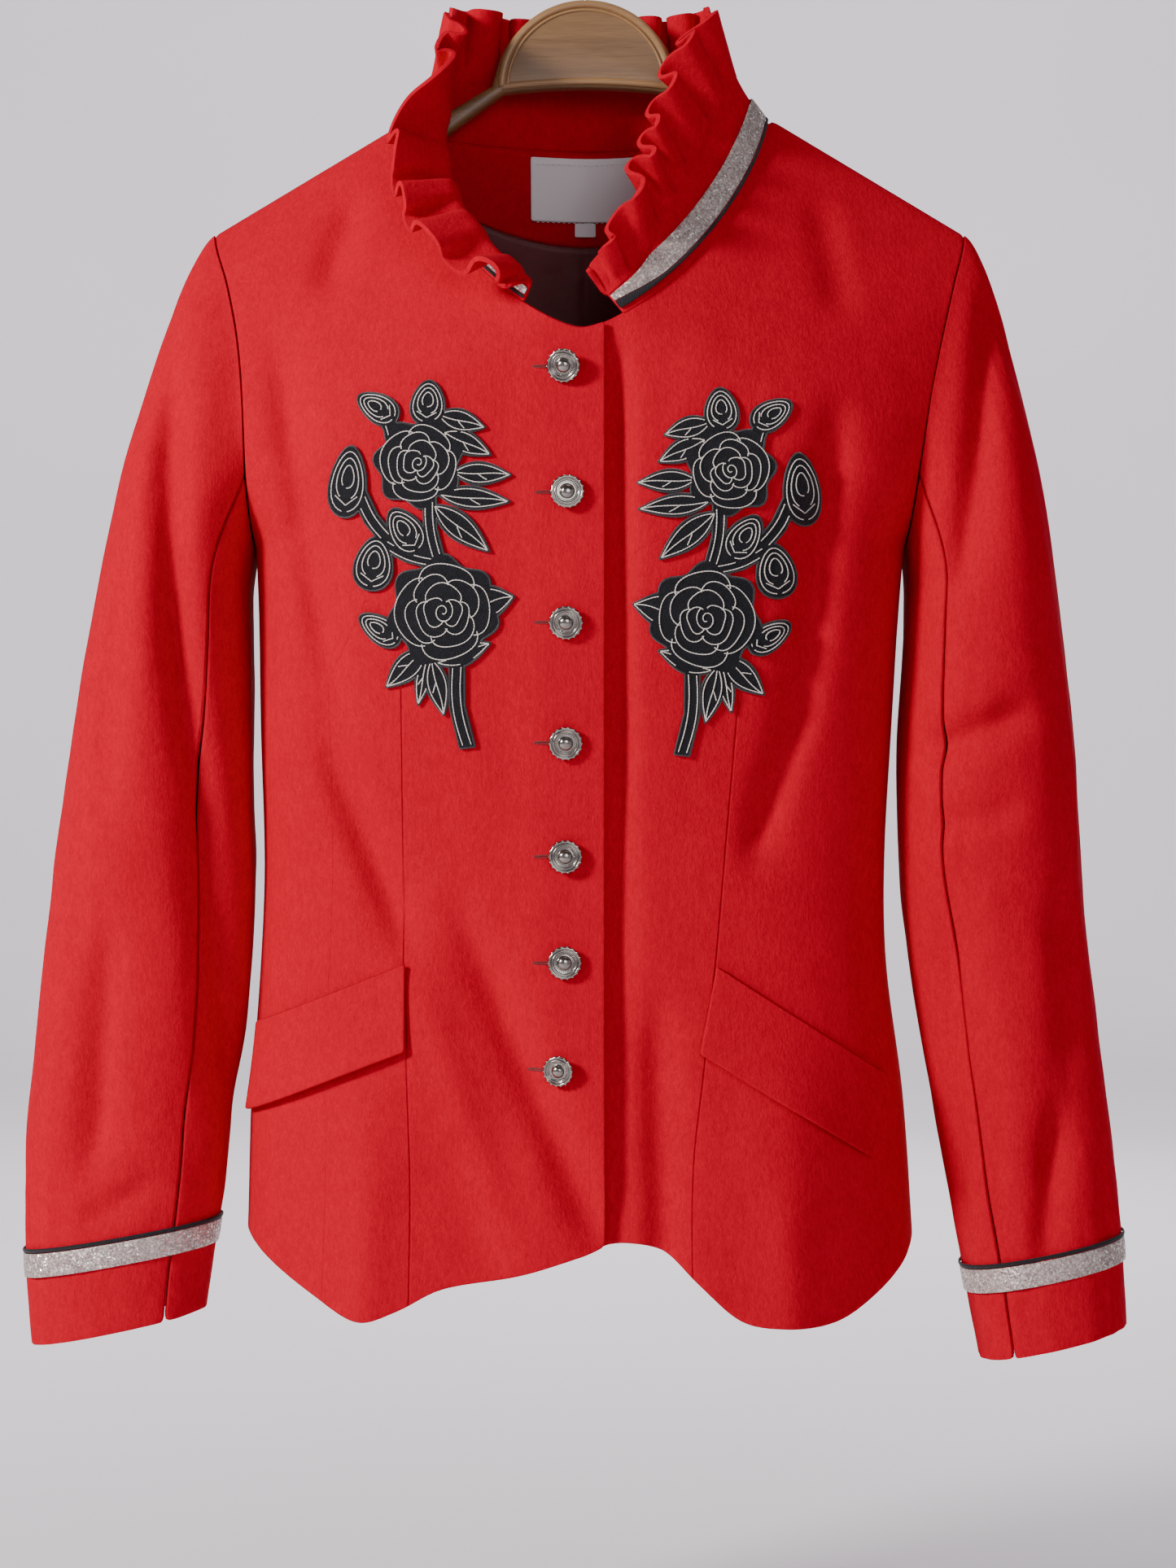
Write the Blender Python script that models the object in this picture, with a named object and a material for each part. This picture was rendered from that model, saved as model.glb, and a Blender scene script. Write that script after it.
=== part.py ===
"""Embroidered wool jacket hanging on a wooden clothes hanger.

Sizes are in millimetres in the tables and become metres in the meshes. The front faces -Y, +Z is up, and the
origin is the inner crown of the hanger's hook, where it hangs on a rail. Left and right in the tables are the
left and right of someone who looks at the front. Pieces are named for the wearer, whose right is their left.
"""
import math
from collections import namedtuple

import bmesh
import bpy
from mathutils import Matrix, Vector
from mathutils.geometry import delaunay_2d_cdt

MM = 0.001

# Cloth walls and the gaps that touching pieces keep
WOOL = 2.0
RUFFLE_WALL = 1.6
TRIM_WALL = 0.9
FACING_WALL = 1.0
APPLIQUE_WALL = 1.2
SEAM_GAP = 0.5
LAY_GAP = 0.6

# The two flat pieces of cloth meet over the hanger in a ridge along each shoulder
SHOULDER_SLOPE = 0.6
SHOULDER_TIP_Z = -215.0
SHOULDER_TIP_LEFT = 208.0
SHOULDER_TIP_RIGHT = 212.0
SHOULDER_ROUND = 170.0
SHOULDER_ROUND_POWER = 1.3
SECTION_POWER = 2.5

# Half widths to each side of the hook and half depths to the front and back, at each height
TorsoRow = namedtuple("TorsoRow", "z left right front back")
TORSO = (
    TorsoRow(-830, 191, 185, 96, 82),
    TorsoRow(-768, 189, 182, 90, 76),
    TorsoRow(-695, 187, 177, 81, 67),
    TorsoRow(-622, 182, 168, 71, 59),
    TorsoRow(-567, 180, 167, 68, 56),
    TorsoRow(-490, 182, 171, 76, 60),
    TorsoRow(-424, 183, 175, 84, 64),
    TorsoRow(-360, 186, 181, 85, 67),
    TorsoRow(-314, 188, 188, 82, 67),
    TorsoRow(-278, 192, 196, 79, 66),
    TorsoRow(-246, 199, 204, 76, 64),
    TorsoRow(-215, 208, 212, 74, 62),
    TorsoRow(-150, 208, 212, 70, 58),
)
ARMHOLE_LOW_Z = -392.0
ARMHOLE_HALF_DEPTH = 52.0
ARMHOLE_ROUND_SHARE = 0.45

# The neckline, one curve in front and a shallow one behind
NECK_MIDDLE_X = -2.0
NECK_HALF_WIDTH = 104.0
NECK_FRONT_DROP = 129.0
NECK_FRONT_POWER = 1.5
NECK_BACK_DROP = 10.0
NECK_BACK_POWER = 2.4
NECK_CORNER_Z = SHOULDER_TIP_Z + SHOULDER_SLOPE * (SHOULDER_TIP_RIGHT - NECK_HALF_WIDTH)

# The right front laps over the left one
LAP_EDGE_X = 10.0
UNDERLAP_EDGE_X = -30.0
LAP_RISE = 1.7
LAP_BLEND = 24.0
LAP_START_X = -22.0
UNDERLAP_END_X = 14.0
CREASE_FADE_REACH = 40.0

# Hem heights across the fronts and the back
HemPoint = namedtuple("HemPoint", "x z")
FRONT_HEM = (
    HemPoint(-190, -768), HemPoint(-175, -780), HemPoint(-147, -797), HemPoint(-122, -809),
    HemPoint(-100, -803), HemPoint(-78, -792), HemPoint(-40, -785), HemPoint(0, -773),
    HemPoint(14, -768), HemPoint(40, -771), HemPoint(60, -789), HemPoint(82, -808),
    HemPoint(106, -812), HemPoint(132, -811), HemPoint(150, -803), HemPoint(175, -784),
    HemPoint(185, -768),
)
BACK_HEM = (
    HemPoint(-190, -768), HemPoint(-150, -782), HemPoint(-95, -794), HemPoint(-40, -786),
    HemPoint(0, -783), HemPoint(40, -787), HemPoint(98, -796), HemPoint(150, -782),
    HemPoint(185, -768),
)

# Where the columns of a front and of the back stand, as places across the shoulder line
FRONT_COLUMNS = (10, -6, -20, -34, -50, -67, -82, -94, -101, -106, -122, -141, -160, -180, -197, -208)
UNDER_COLUMNS = (-30, -12, 4, 16, 30, 46, 62, 77, 89, 97, 102, 120, 140, 161, 182, 200, 212)
BACK_COLUMNS = (
    -208, -197, -180, -158, -132, -106, -98, -82, -57, -30, 0, 27, 54, 79, 95, 102, 130, 160, 184, 201, 212,
)
FRONT_ROWS = 20
BACK_ROWS = 17
ROW_CROWDING = 1.35
HEM_LEVEL_Z = -790.0

# Soft troughs (depth above 0) and ridges (below 0) in the cloth, from one end to the other in the front view
Crease = namedtuple("Crease", "x0 z0 x1 z1 width depth")
FRONT_CREASES = (
    Crease(-67, -612, 4, -752, 15, 3.0),
    Crease(-92, -632, -40, -770, 15, -2.5),
    Crease(36, -650, 40, -800, 17, 4.5),
    Crease(-168, -300, -142, -455, 17, 3.0),
    Crease(134, -335, 116, -470, 16, 3.5),
    Crease(114, -480, 92, -560, 15, 3.0),
    Crease(-140, -500, -96, -600, 14, 3.0),
    Crease(-132, -200, -140, -246, 14, 2.5),
    Crease(-119, -680, -122, -840, 26, -5.0),
    Crease(110, -680, 112, -840, 28, -6.0),
    Crease(-52, -690, -56, -830, 24, 3.5),
)
BACK_CREASES = (
    Crease(-86, -640, -92, -830, 28, -5.0),
    Crease(96, -650, 100, -830, 28, -5.0),
    Crease(4, -660, 0, -830, 30, 4.0),
    Crease(-132, -300, -104, -470, 17, 3.0),
    Crease(138, -310, 108, -480, 16, 3.0),
    Crease(-120, -520, -40, -580, 15, 2.5),
    Crease(118, -515, 52, -590, 15, 2.5),
)

# Sleeves: distances from the hook's plane to the outer and inner edge, middle depth and half depth
SleeveRow = namedtuple("SleeveRow", "z outer inner middle half_depth")
SLEEVE_TOP_Z = -420.0
SLEEVE_RIGHT_OF_WEARER = (
    SleeveRow(-840, 306, 214, -20, 31),
    SleeveRow(-786, 310, 207, -18, 33),
    SleeveRow(-731, 311, 199, -16, 36),
    SleeveRow(-695, 309, 195, -14, 38),
    SleeveRow(-658, 306, 189, -12, 41),
    SleeveRow(-585, 298, 185, -8, 44),
    SleeveRow(-512, 289, 186, -5, 50),
    SleeveRow(-420, 274, 187, -2, 60),
)
SLEEVE_LEFT_OF_WEARER = (
    SleeveRow(-850, 300, 219, -24, 33),
    SleeveRow(-786, 297, 208, -21, 35),
    SleeveRow(-731, 293, 197, -18, 37),
    SleeveRow(-695, 288, 191, -16, 39),
    SleeveRow(-658, 284, 185, -13, 41),
    SleeveRow(-585, 277, 176, -9, 45),
    SleeveRow(-512, 273, 174, -6, 51),
    SleeveRow(-420, 263, 179, -3, 60),
)
# The cuff hangs lower on one edge than on the other
CuffEdge = namedtuple("CuffEdge", "outer_z inner_z")
CUFF_RIGHT_OF_WEARER = CuffEdge(-832, -813)
CUFF_LEFT_OF_WEARER = CuffEdge(-820, -840)
CUFF_LEVEL_Z = -828.0
SLEEVE_SECTION_POWER = 0.9
SLEEVE_CAP_ROWS = 6
SLEEVE_BODY_ROWS = 11
SLEEVE_CAP_SHARE = 0.3
SLEEVE_HEAD_REACH = 16.0
SLEEVE_HEAD_MIDDLE_Z = -330.0
SLEEVE_SEAM_DEGREES = 125.0
SLEEVE_SEAM_PARTING = 0.6
TOP_SLEEVE_COLUMNS = 13
UNDER_SLEEVE_COLUMNS = 6
SLEEVE_CREASES_RIGHT_OF_WEARER = (
    Crease(-236, -250, -214, -545, 15, 6.0),
    Crease(-212, -550, -199, -690, 12, 5.0),
    Crease(-262, -620, -268, -725, 15, 3.0),
)
SLEEVE_CREASES_LEFT_OF_WEARER = (
    Crease(230, -255, 210, -400, 15, 5.0),
    Crease(196, -500, 250, -482, 13, 3.0),
    Crease(266, -650, 258, -735, 14, 4.0),
    Crease(206, -600, 217, -720, 12, 3.0),
)

# Cuff trim: heights above the lower edge of the sleeve
CUFF_DEPTH = 50.0
CUFF_RIBBON_WIDTH = 13.0
CUFF_BRAID_WIDTH = 2.4
CUFF_TRIM_OPEN_DEGREES = 1.2
TRIM_PARTING = 0.4

# The collar: place is the share of the way round the neckline from the left end to the right end. Stand and
# ruffle are widths, start and finish are the angles at which cloth leaves the neckline and ends.
CollarRow = namedtuple("CollarRow", "place stand ruffle start finish wave")
COLLAR = (
    CollarRow(0.00, 10, 16, 62, 150, 3.0),
    CollarRow(0.05, 12, 33, 66, 166, 5.0),
    CollarRow(0.11, 15, 38, 66, 172, 6.0),
    CollarRow(0.17, 21, 40, 54, 160, 6.0),
    CollarRow(0.22, 29, 38, 46, 112, 6.0),
    CollarRow(0.27, 33, 38, 46, 76, 6.0),
    CollarRow(0.32, 33, 38, 52, 62, 5.4),
    CollarRow(0.50, 33, 38, 66, 76, 4.2),
    CollarRow(0.68, 33, 38, 52, 60, 5.4),
    CollarRow(0.76, 33, 38, 36, 54, 6.0),
    CollarRow(0.84, 30, 35, 28, 64, 6.0),
    CollarRow(0.90, 24, 32, 25, 70, 5.6),
    CollarRow(0.955, 16, 27, 22, 68, 4.6),
    CollarRow(1.00, 13, 14, 18, 40, 2.2),
)
COLLAR_LEFT_END_X = -31.0
COLLAR_RIGHT_END_X = 17.0
COLLAR_CENTRE = Vector((-2.0, 5.0, -150.0))
COLLAR_STEPS = 54
COLLAR_SEAT_LIFT = 1.2
NECKLINE_SMOOTHING = (-0.016, -0.008, 0.0, 0.008, 0.016)
COLLAR_TURN_SPAN = 0.05
COLLAR_RIBBON_GAP = 0.9
COLLAR_RIBBON_WIDTH = 13.0
COLLAR_RIBBON_HEADROOM = 2.5
COLLAR_TRIM_FOOT = 1.0
COLLAR_BRAID_WIDTH = 1.8
COLLAR_BRAID_END_WIDTH = 5.0
RUFFLE_WAVES = 21
RUFFLE_STEPS_A_WAVE = 7
RUFFLE_ROWS = 3
CURL_SHARE = 0.24

# Pocket flaps: corners in the front view
Corner = namedtuple("Corner", "x z")
FLAP_RIGHT_OF_WEARER = (Corner(-97, -620), Corner(-180, -654), Corner(-184, -703), Corner(-96, -667))
FLAP_LEFT_OF_WEARER = (Corner(70, -621), Corner(163, -682), Corner(152, -725), Corner(61, -668))
FLAP_COLUMNS = 8
FLAP_ROWS = 3
FLAP_TIP_LIFT = 2.0
FLAP_GAP = 1.1

# Flower sprays, drawn in a flat frame: x runs toward the front opening, z up, turn is from straight up
SprayPiece = namedtuple("SprayPiece", "kind x z length width turn")
SPRAY = (
    SprayPiece("rose", 12, -24, 56, 56, 0),
    SprayPiece("rose", -1, 55, 45, 45, 20),
    SprayPiece("bud", 4, 87, 24, 18, 4),
    SprayPiece("bud", -23, 85, 25, 15, -58),
    SprayPiece("bud", -39, 46, 38, 20, 6),
    SprayPiece("bud", -8, 19, 28, 18, -34),
    SprayPiece("bud", -25, 2, 29, 21, 8),
    SprayPiece("bud", -22, -33, 26, 14, -56),
    SprayPiece("leaf", 22, 77, 26, 12, 106),
    SprayPiece("leaf", 25, 65, 28, 12, 116),
    SprayPiece("leaf", 33, 49, 31, 12, 93),
    SprayPiece("leaf", 29, 36, 38, 12, 96),
    SprayPiece("leaf", 22, 20, 39, 14, 130),
    SprayPiece("leaf", 37, -19, 27, 18, 78),
    SprayPiece("leaf", 23, -46, 31, 13, 70),
    SprayPiece("leaf", -8, -54, 30, 14, -132),
    SprayPiece("leaf", 9, -64, 31, 12, 168),
    SprayPiece("leaf", 1, -61, 26, 8, -168),
    SprayPiece("stem", -17, 73, 26, 8, -16),
    SprayPiece("stem", -25, 27, 30, 8, 148),
    SprayPiece("stem", -6, 7, 28, 6, 112),
    SprayPiece("stem", 8, 20, 44, 7, 172),
    SprayPiece("stem", 22, -74, 45, 8, 173),
)
SPRAY_LEFT_ORIGIN = Corner(-88, -407)
SPRAY_RIGHT_ORIGIN = Corner(76, -411)
SPRAY_GRID = 17.0
ROSE_LOBES = 7
ROSE_LOBE_DEPTH = 0.09
ROSE_POINTS = 21
BUD_POINTS = 10
LEAF_POINTS = 5

# Buttons down the front: height, lean sideways and lean downward in degrees
ButtonRow = namedtuple("ButtonRow", "x z size lean nod")
BUTTONS = (
    ButtonRow(-11.5, -300.5, 18.5, -14, 16),
    ButtonRow(-10.0, -368.0, 18.5, 3, -4),
    ButtonRow(-10.5, -437.0, 18.5, -3, 3),
    ButtonRow(-11.0, -501.0, 18.5, 4, 2),
    ButtonRow(-11.0, -562.0, 18.5, -2, -3),
    ButtonRow(-11.5, -619.0, 18.5, 2, 4),
    ButtonRow(-14.0, -676.0, 17.0, -12, 10),
)
BUTTON_SIDES = 14
BUTTON_THICKNESS = 5.0
BUTTON_SEAT_GAP = 0.7
BUTTON_TILT_SHARE = 0.55

# What shows inside the neck
FACING_HALF_WIDTH = 88.0
FACING_LOW_Z = -213.0
FACING_SIDE_RISE = 24.0
FACING_DEPTH = 3.1
LINING_DEPTH = 4.4
LINING_LOW_Z = -330.0
LINING_HALF_WIDTH = 112.0
PLEAT_WIDTH = 9.0
PLEAT_RISE = 2.4
LABEL_GAP = 1.1
LABEL_WALL = 0.6
LABEL_LEFT_X = -31.5
LABEL_RIGHT_X = 30.0
LABEL_TOP_Z = -165.5
LABEL_HEIGHT = 34.0
TAB_LEFT_X = -6.5
TAB_WIDTH = 12.0
TAB_HEIGHT = 7.5

# The hanger
HANGER_THICKNESS = 11.0
ARM_DROP = 10.0
ARM_HEIGHT = 23.0
ARM_END_X = 189.0
PLATE_HALF_WIDTH = 52.0
PLATE_FOOT_Z = -136.0
PLATE_RISE = 51.5
PLATE_ARC_STEPS = 14
RIM_WIDTH = 6.5
RIM_HEIGHT = 1.2
RIM_INSET = 2.6
RIM_FOOT_RISE = 3.0
RIM_GLUE_GAP = 0.3
WOOD_EDGE_ROUND = 2.4
HOOK_START_DEGREES = 215.0
HOOK_BEND_STEPS = 8
HOOK_WIRE = 1.7
HOOK_RADIUS = 28.0
HOOK_STEM_TOP_Z = -64.0
HOOK_ARC_STEPS = 11
HOOK_END_DEGREES = -32.0


def clear_scene():
    """Remove every object that the new file opens with."""
    for item in list(bpy.data.objects):
        bpy.data.objects.remove(item, do_unlink=True)


def blend(low, high, share):
    """Return the value a share of the way from one number or vector to another."""
    return low + (high - low) * share


def soft_step(value):
    """Rise smoothly from 0 to 1 while the value goes from 0 to 1."""
    held = min(max(value, 0.0), 1.0)
    return held * held * (3.0 - 2.0 * held)


def read_curve(points, where):
    """Read a height on the smooth curve through (place, value) points in rising order."""
    if where <= points[0][0]:
        return points[0][1]
    if where >= points[-1][0]:
        return points[-1][1]
    last = len(points) - 1
    index = 0
    while points[index + 1][0] < where:
        index += 1
    x0, y0 = points[index]
    x1, y1 = points[index + 1]
    before = points[max(index - 1, 0)]
    after = points[min(index + 2, last)]
    slope0 = (y1 - before[1]) / (x1 - before[0])
    slope1 = (after[1] - y0) / (after[0] - x0)
    span = x1 - x0
    t = (where - x0) / span
    return (
        y0 * (1 + 2 * t) * (1 - t) ** 2
        + slope0 * span * t * (1 - t) ** 2
        + y1 * t * t * (3 - 2 * t)
        + slope1 * span * t * t * (t - 1)
    )


def read_column(table, key, column, where):
    """Read one named column of a table at a place, along its smooth curve."""
    return read_curve([(getattr(row, key), getattr(row, column)) for row in table], where)


def crease_depth(creases, x, z):
    """Add up how far the soft troughs and ridges push the cloth in at a place in the front view."""
    total = 0.0
    for crease in creases:
        along = Vector((crease.x1 - crease.x0, crease.z1 - crease.z0))
        offset = Vector((x - crease.x0, z - crease.z0))
        share = offset.dot(along) / along.length_squared
        across = abs(offset.x * along.y - offset.y * along.x) / along.length
        fade = soft_step((share + 0.25) / 0.45) * soft_step((1.25 - share) / 0.45)
        total += crease.depth * fade * math.exp(-((across / crease.width) ** 2))
    return total


def shoulder_z(x):
    """Height of the shoulder line above or below a place across."""
    tip = SHOULDER_TIP_LEFT if x < 0 else SHOULDER_TIP_RIGHT
    return SHOULDER_TIP_Z + SHOULDER_SLOPE * (tip - abs(x))


def neck_z(x, front):
    """Height of the neckline at a place across."""
    share = min(abs(x - NECK_MIDDLE_X) / NECK_HALF_WIDTH, 1.0)
    drop = NECK_FRONT_DROP if front else NECK_BACK_DROP
    power = NECK_FRONT_POWER if front else NECK_BACK_POWER
    return NECK_CORNER_Z - drop * (1.0 - share ** power) ** (1.0 / power)


def top_z(x, front):
    """Height of the upper edge of a front or the back: the neckline, then the shoulder line."""
    if abs(x - NECK_MIDDLE_X) < NECK_HALF_WIDTH:
        return neck_z(x, front)
    return shoulder_z(x)


def edge_x(z, x_sign):
    """Distance of the side seam or armhole edge from the hook's plane."""
    return read_column(TORSO, "z", "left" if x_sign < 0 else "right", z)


def armhole_half_depth(z):
    """Half of the armhole's opening at a height, before the shoulder narrows it."""
    share = (z - ARMHOLE_LOW_Z) / (SHOULDER_TIP_Z - ARMHOLE_LOW_Z)
    rise = min(max(share / ARMHOLE_ROUND_SHARE, 0.0), 1.0)
    return ARMHOLE_HALF_DEPTH * math.sqrt(1.0 - (1.0 - rise) ** 2)


def section_half_width(z, x_sign, depth):
    """Half width of the whole curve whose part up to the armhole edge is the panel's section."""
    cut = min(armhole_half_depth(z) / depth, 0.95)
    return edge_x(z, x_sign) / (1.0 - cut ** SECTION_POWER) ** (1.0 / SECTION_POWER)


def section_depth(z, front):
    """Half depth of the torso at a height."""
    return read_column(TORSO, "z", "front" if front else "back", z)


def shoulder_fall(x, z):
    """Share of the full depth that the cloth has reached below the shoulder line."""
    below = min(max((shoulder_z(x) - z) / SHOULDER_ROUND, 0.0), 1.0)
    return (1.0 - (1.0 - below) ** SHOULDER_ROUND_POWER) ** (1.0 / SHOULDER_ROUND_POWER)


def torso_y(x, z, front):
    """Depth of the outer face of a front or the back at a place in the front view."""
    depth = section_depth(z, front)
    width = section_half_width(z, -1 if x < 0 else 1, depth)
    share = min(abs(x) / width, 1.0)
    round_off = (1.0 - share ** SECTION_POWER) ** (1.0 / SECTION_POWER)
    fall = shoulder_fall(x, z)
    reach = depth * round_off * fall
    steady = soft_step(reach / CREASE_FADE_REACH)
    reach -= steady * crease_depth(FRONT_CREASES if front else BACK_CREASES, x, z)
    return -(SEAM_GAP / 2 + reach) if front else SEAM_GAP / 2 + reach


def section_angle(x, width):
    """Angle round the section curve at which it stands a distance to one side."""
    share = min(abs(x) / width, 1.0) ** (SECTION_POWER / 2.0)
    return math.copysign(math.asin(share), x)


def section_x(angle, width):
    """Place across at an angle round the section curve."""
    return math.copysign(width * abs(math.sin(angle)) ** (2.0 / SECTION_POWER), angle)


def column_x(column, inner_x, outer_sign, z, front):
    """Place across of a panel's column, named by its place at the neck's height, at another height."""
    depth = section_depth(z, front)
    side = math.copysign(1.0, column) if column else 1.0
    width = section_half_width(z, side, depth)
    ref_depth = section_depth(NECK_CORNER_Z, front)
    ref_width = section_half_width(NECK_CORNER_Z, side, ref_depth)
    if inner_x is not None and side != outer_sign:
        return column
    ref_edge = section_angle(edge_x(NECK_CORNER_Z, side), ref_width)
    edge = section_angle(edge_x(z, side), width)
    share = section_angle(abs(column), ref_width) / ref_edge
    return side * abs(section_x(edge * min(share, 1.0), width))


def column_top(column, inner_x, outer_sign, front):
    """Height at which a panel's column meets the panel's upper edge."""
    low, high = -340.0, -60.0
    for _ in range(40):
        middle = (low + high) / 2
        if middle < top_z(column_x(column, inner_x, outer_sign, middle, front), front):
            low = middle
        else:
            high = middle
    return (low + high) / 2


def lap_shift(x, over):
    """How far the lapping front stands out, or the front under it stands in, at a place across."""
    if over:
        return -LAP_RISE * soft_step((x - LAP_START_X + LAP_BLEND) / LAP_BLEND)
    return LAP_RISE * soft_step((UNDERLAP_END_X + LAP_BLEND / 2 - x) / (LAP_BLEND / 2))


def front_point(x, z):
    """A point of the outer face of the closed front."""
    over = x <= LAP_EDGE_X
    return Vector((x, torso_y(x, z, True) + lap_shift(x, over), z))


def front_normal(x, z):
    """Outward normal of the closed front at a place in the front view."""
    step = 1.0
    across = front_point(x + step, z) - front_point(x - step, z)
    along = front_point(x, z + step) - front_point(x, z - step)
    return across.cross(along).normalized()


def plain_material(name, colour, roughness=0.9, metallic=0.0):
    """Make a plain material in a sub-part's own colour."""
    material = bpy.data.materials.new(name)
    material.use_nodes = True
    shader = material.node_tree.nodes["Principled BSDF"]
    shader.inputs["Base Color"].default_value = (*colour, 1.0)
    shader.inputs["Roughness"].default_value = roughness
    shader.inputs["Metallic"].default_value = metallic
    material.diffuse_color = (*colour, 1.0)
    return material


def add_object(name, mesh_data, material):
    """Put a mesh in the scene as a named object."""
    item = bpy.data.objects.new(name, mesh_data)
    item.data.materials.append(material)
    bpy.context.scene.collection.objects.link(item)
    return item


def finish_mesh(name, bm, material, smooth_degrees=40.0):
    """Turn a bmesh in millimetres into a smooth-shaded object in metres."""
    bmesh.ops.recalc_face_normals(bm, faces=bm.faces)
    bmesh.ops.scale(bm, vec=(MM, MM, MM), verts=bm.verts)
    mesh_data = bpy.data.meshes.new(name)
    bm.to_mesh(mesh_data)
    bm.free()
    mesh_data.shade_smooth()
    mesh_data.set_sharp_from_angle(angle=math.radians(smooth_degrees))
    return add_object(name, mesh_data, material)


def cloth_wall(name, columns, rows, outer, inner, material):
    """Make a closed wall of cloth from a flat grid whose two faces go to outer(i, j) and inner(i, j)."""
    bm = bmesh.new()
    bmesh.ops.create_grid(bm, x_segments=columns, y_segments=rows, size=0.5)
    made = bmesh.ops.extrude_face_region(bm, geom=bm.faces[:], use_keep_orig=True)
    lifted = {part for part in made["geom"] if isinstance(part, bmesh.types.BMVert)}
    for vert in bm.verts:
        i = round((vert.co.x + 0.5) * columns)
        j = round((vert.co.y + 0.5) * rows)
        vert.co = outer(i, j) if vert in lifted else inner(i, j)
    return finish_mesh(name, bm, material)


def torso_panel(name, columns, rows, front, outer_sign, inner_x, over, material):
    """Make a front or the back from its columns, its hem and its upper edge."""
    tops = [column_top(column, inner_x, outer_sign, front) for column in columns]
    hem = FRONT_HEM if front else BACK_HEM

    def outer(i, j):
        share = 1.0 - (1.0 - j / rows) ** ROW_CROWDING
        column = columns[i]
        x_low = column_x(column, inner_x, outer_sign, HEM_LEVEL_Z, front)
        z = blend(read_column(hem, "x", "z", x_low), tops[i], share)
        x = column_x(column, inner_x, outer_sign, z, front)
        shift = lap_shift(x, over) if front else 0.0
        return Vector((x, torso_y(x, z, front) + shift, z))

    last = len(columns) - 1

    def inner(i, j):
        point = outer(i, j)
        across = outer(min(i + 1, last), j) - outer(max(i - 1, 0), j)
        along = outer(i, min(j + 1, rows)) - outer(i, max(j - 1, 0))
        normal = across.cross(along).normalized()
        if normal.y * (-1 if front else 1) < 0:
            normal.negate()
        on_shoulder = j == rows and abs(point.x - NECK_MIDDLE_X) > NECK_HALF_WIDTH - 1.0
        on_side = abs(columns[i]) >= SHOULDER_TIP_LEFT and point.z < ARMHOLE_LOW_Z
        if on_shoulder or on_side:
            normal.y = 0.0
            normal.normalize()
        return point - normal * WOOL

    return cloth_wall(name, last, rows, outer, inner, material)


def sleeve_ring(table, side, angle, z):
    """A point of the round part of a sleeve. Angle 0 is the outer edge and 90 degrees the front."""
    outer = read_column(table, "z", "outer", z)
    inner = read_column(table, "z", "inner", z)
    middle = read_column(table, "z", "middle", z)
    half_depth = read_column(table, "z", "half_depth", z)
    across = math.copysign(abs(math.cos(angle)) ** SLEEVE_SECTION_POWER, math.cos(angle))
    deep = math.copysign(abs(math.sin(angle)) ** SLEEVE_SECTION_POWER, math.sin(angle))
    x = side * ((outer + inner) / 2 + (outer - inner) / 2 * across)
    return Vector((x, middle - half_depth * deep, z))


def armhole_point(side, angle):
    """A point of the armhole seam, at the sleeve's angle."""
    turn = (1.0 - math.cos(angle)) / 2
    z = blend(SHOULDER_TIP_Z, ARMHOLE_LOW_Z, turn)
    front = math.sin(angle) >= 0
    x = side * edge_x(z, side)
    y = torso_y(x, z, front)
    if turn > 0.999:
        y = 0.0
    return Vector((x + side * SEAM_GAP, y, z))


def cuff_z(cuff, table, side, x):
    """Height of the sleeve's lower edge at a place across."""
    outer = read_column(table, "z", "outer", CUFF_LEVEL_Z)
    inner = read_column(table, "z", "inner", CUFF_LEVEL_Z)
    share = (abs(x) - inner) / (outer - inner)
    return blend(cuff.inner_z, cuff.outer_z, min(max(share, -0.1), 1.1))


def sleeve_middle(sleeve, z):
    """Middle of a sleeve at a height."""
    side, table = sleeve[:2]
    low = min(z, SLEEVE_TOP_Z)
    outer = read_column(table, "z", "outer", low)
    inner = read_column(table, "z", "inner", low)
    return Vector((side * (outer + inner) / 2, read_column(table, "z", "middle", low), z))


def sleeve_point(sleeve, angle, v):
    """A point of a sleeve's outer face, v running from the armhole to the cuff."""
    side, table, cuff, creases = sleeve
    ring = sleeve_ring(table, side, angle, SLEEVE_TOP_Z)
    if v <= SLEEVE_CAP_SHARE:
        t = v / SLEEVE_CAP_SHARE
        start = armhole_point(side, angle)
        turn = (1.0 - math.cos(angle)) / 2
        leave = Vector((side * (1.0 - turn), 0.0, -0.5 - 0.5 * turn)).normalized()
        reach = min(SLEEVE_HEAD_REACH, (start - ring).length / 3)
        below = sleeve_ring(table, side, angle, SLEEVE_TOP_Z - 10.0)
        rise = (ring - below).normalized() * (start - ring).length * 0.45
        first = start + leave * reach
        second = ring + rise
        point = (
            start * (1 - t) ** 3
            + first * 3 * t * (1 - t) ** 2
            + second * 3 * t * t * (1 - t)
            + ring * t ** 3
        )
    else:
        t = (v - SLEEVE_CAP_SHARE) / (1.0 - SLEEVE_CAP_SHARE)
        z = blend(SLEEVE_TOP_Z, cuff_z(cuff, table, side, ring.x), t)
        low = sleeve_ring(table, side, angle, z)
        z = blend(SLEEVE_TOP_Z, cuff_z(cuff, table, side, low.x), t)
        point = sleeve_ring(table, side, angle, z)
    push = sleeve_middle(sleeve, point.z) - point
    depth = crease_depth(creases, point.x, point.z) * soft_step(abs(math.sin(angle)) / 0.5)
    return point + push.normalized() * depth * soft_step(v / 0.1)


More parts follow.
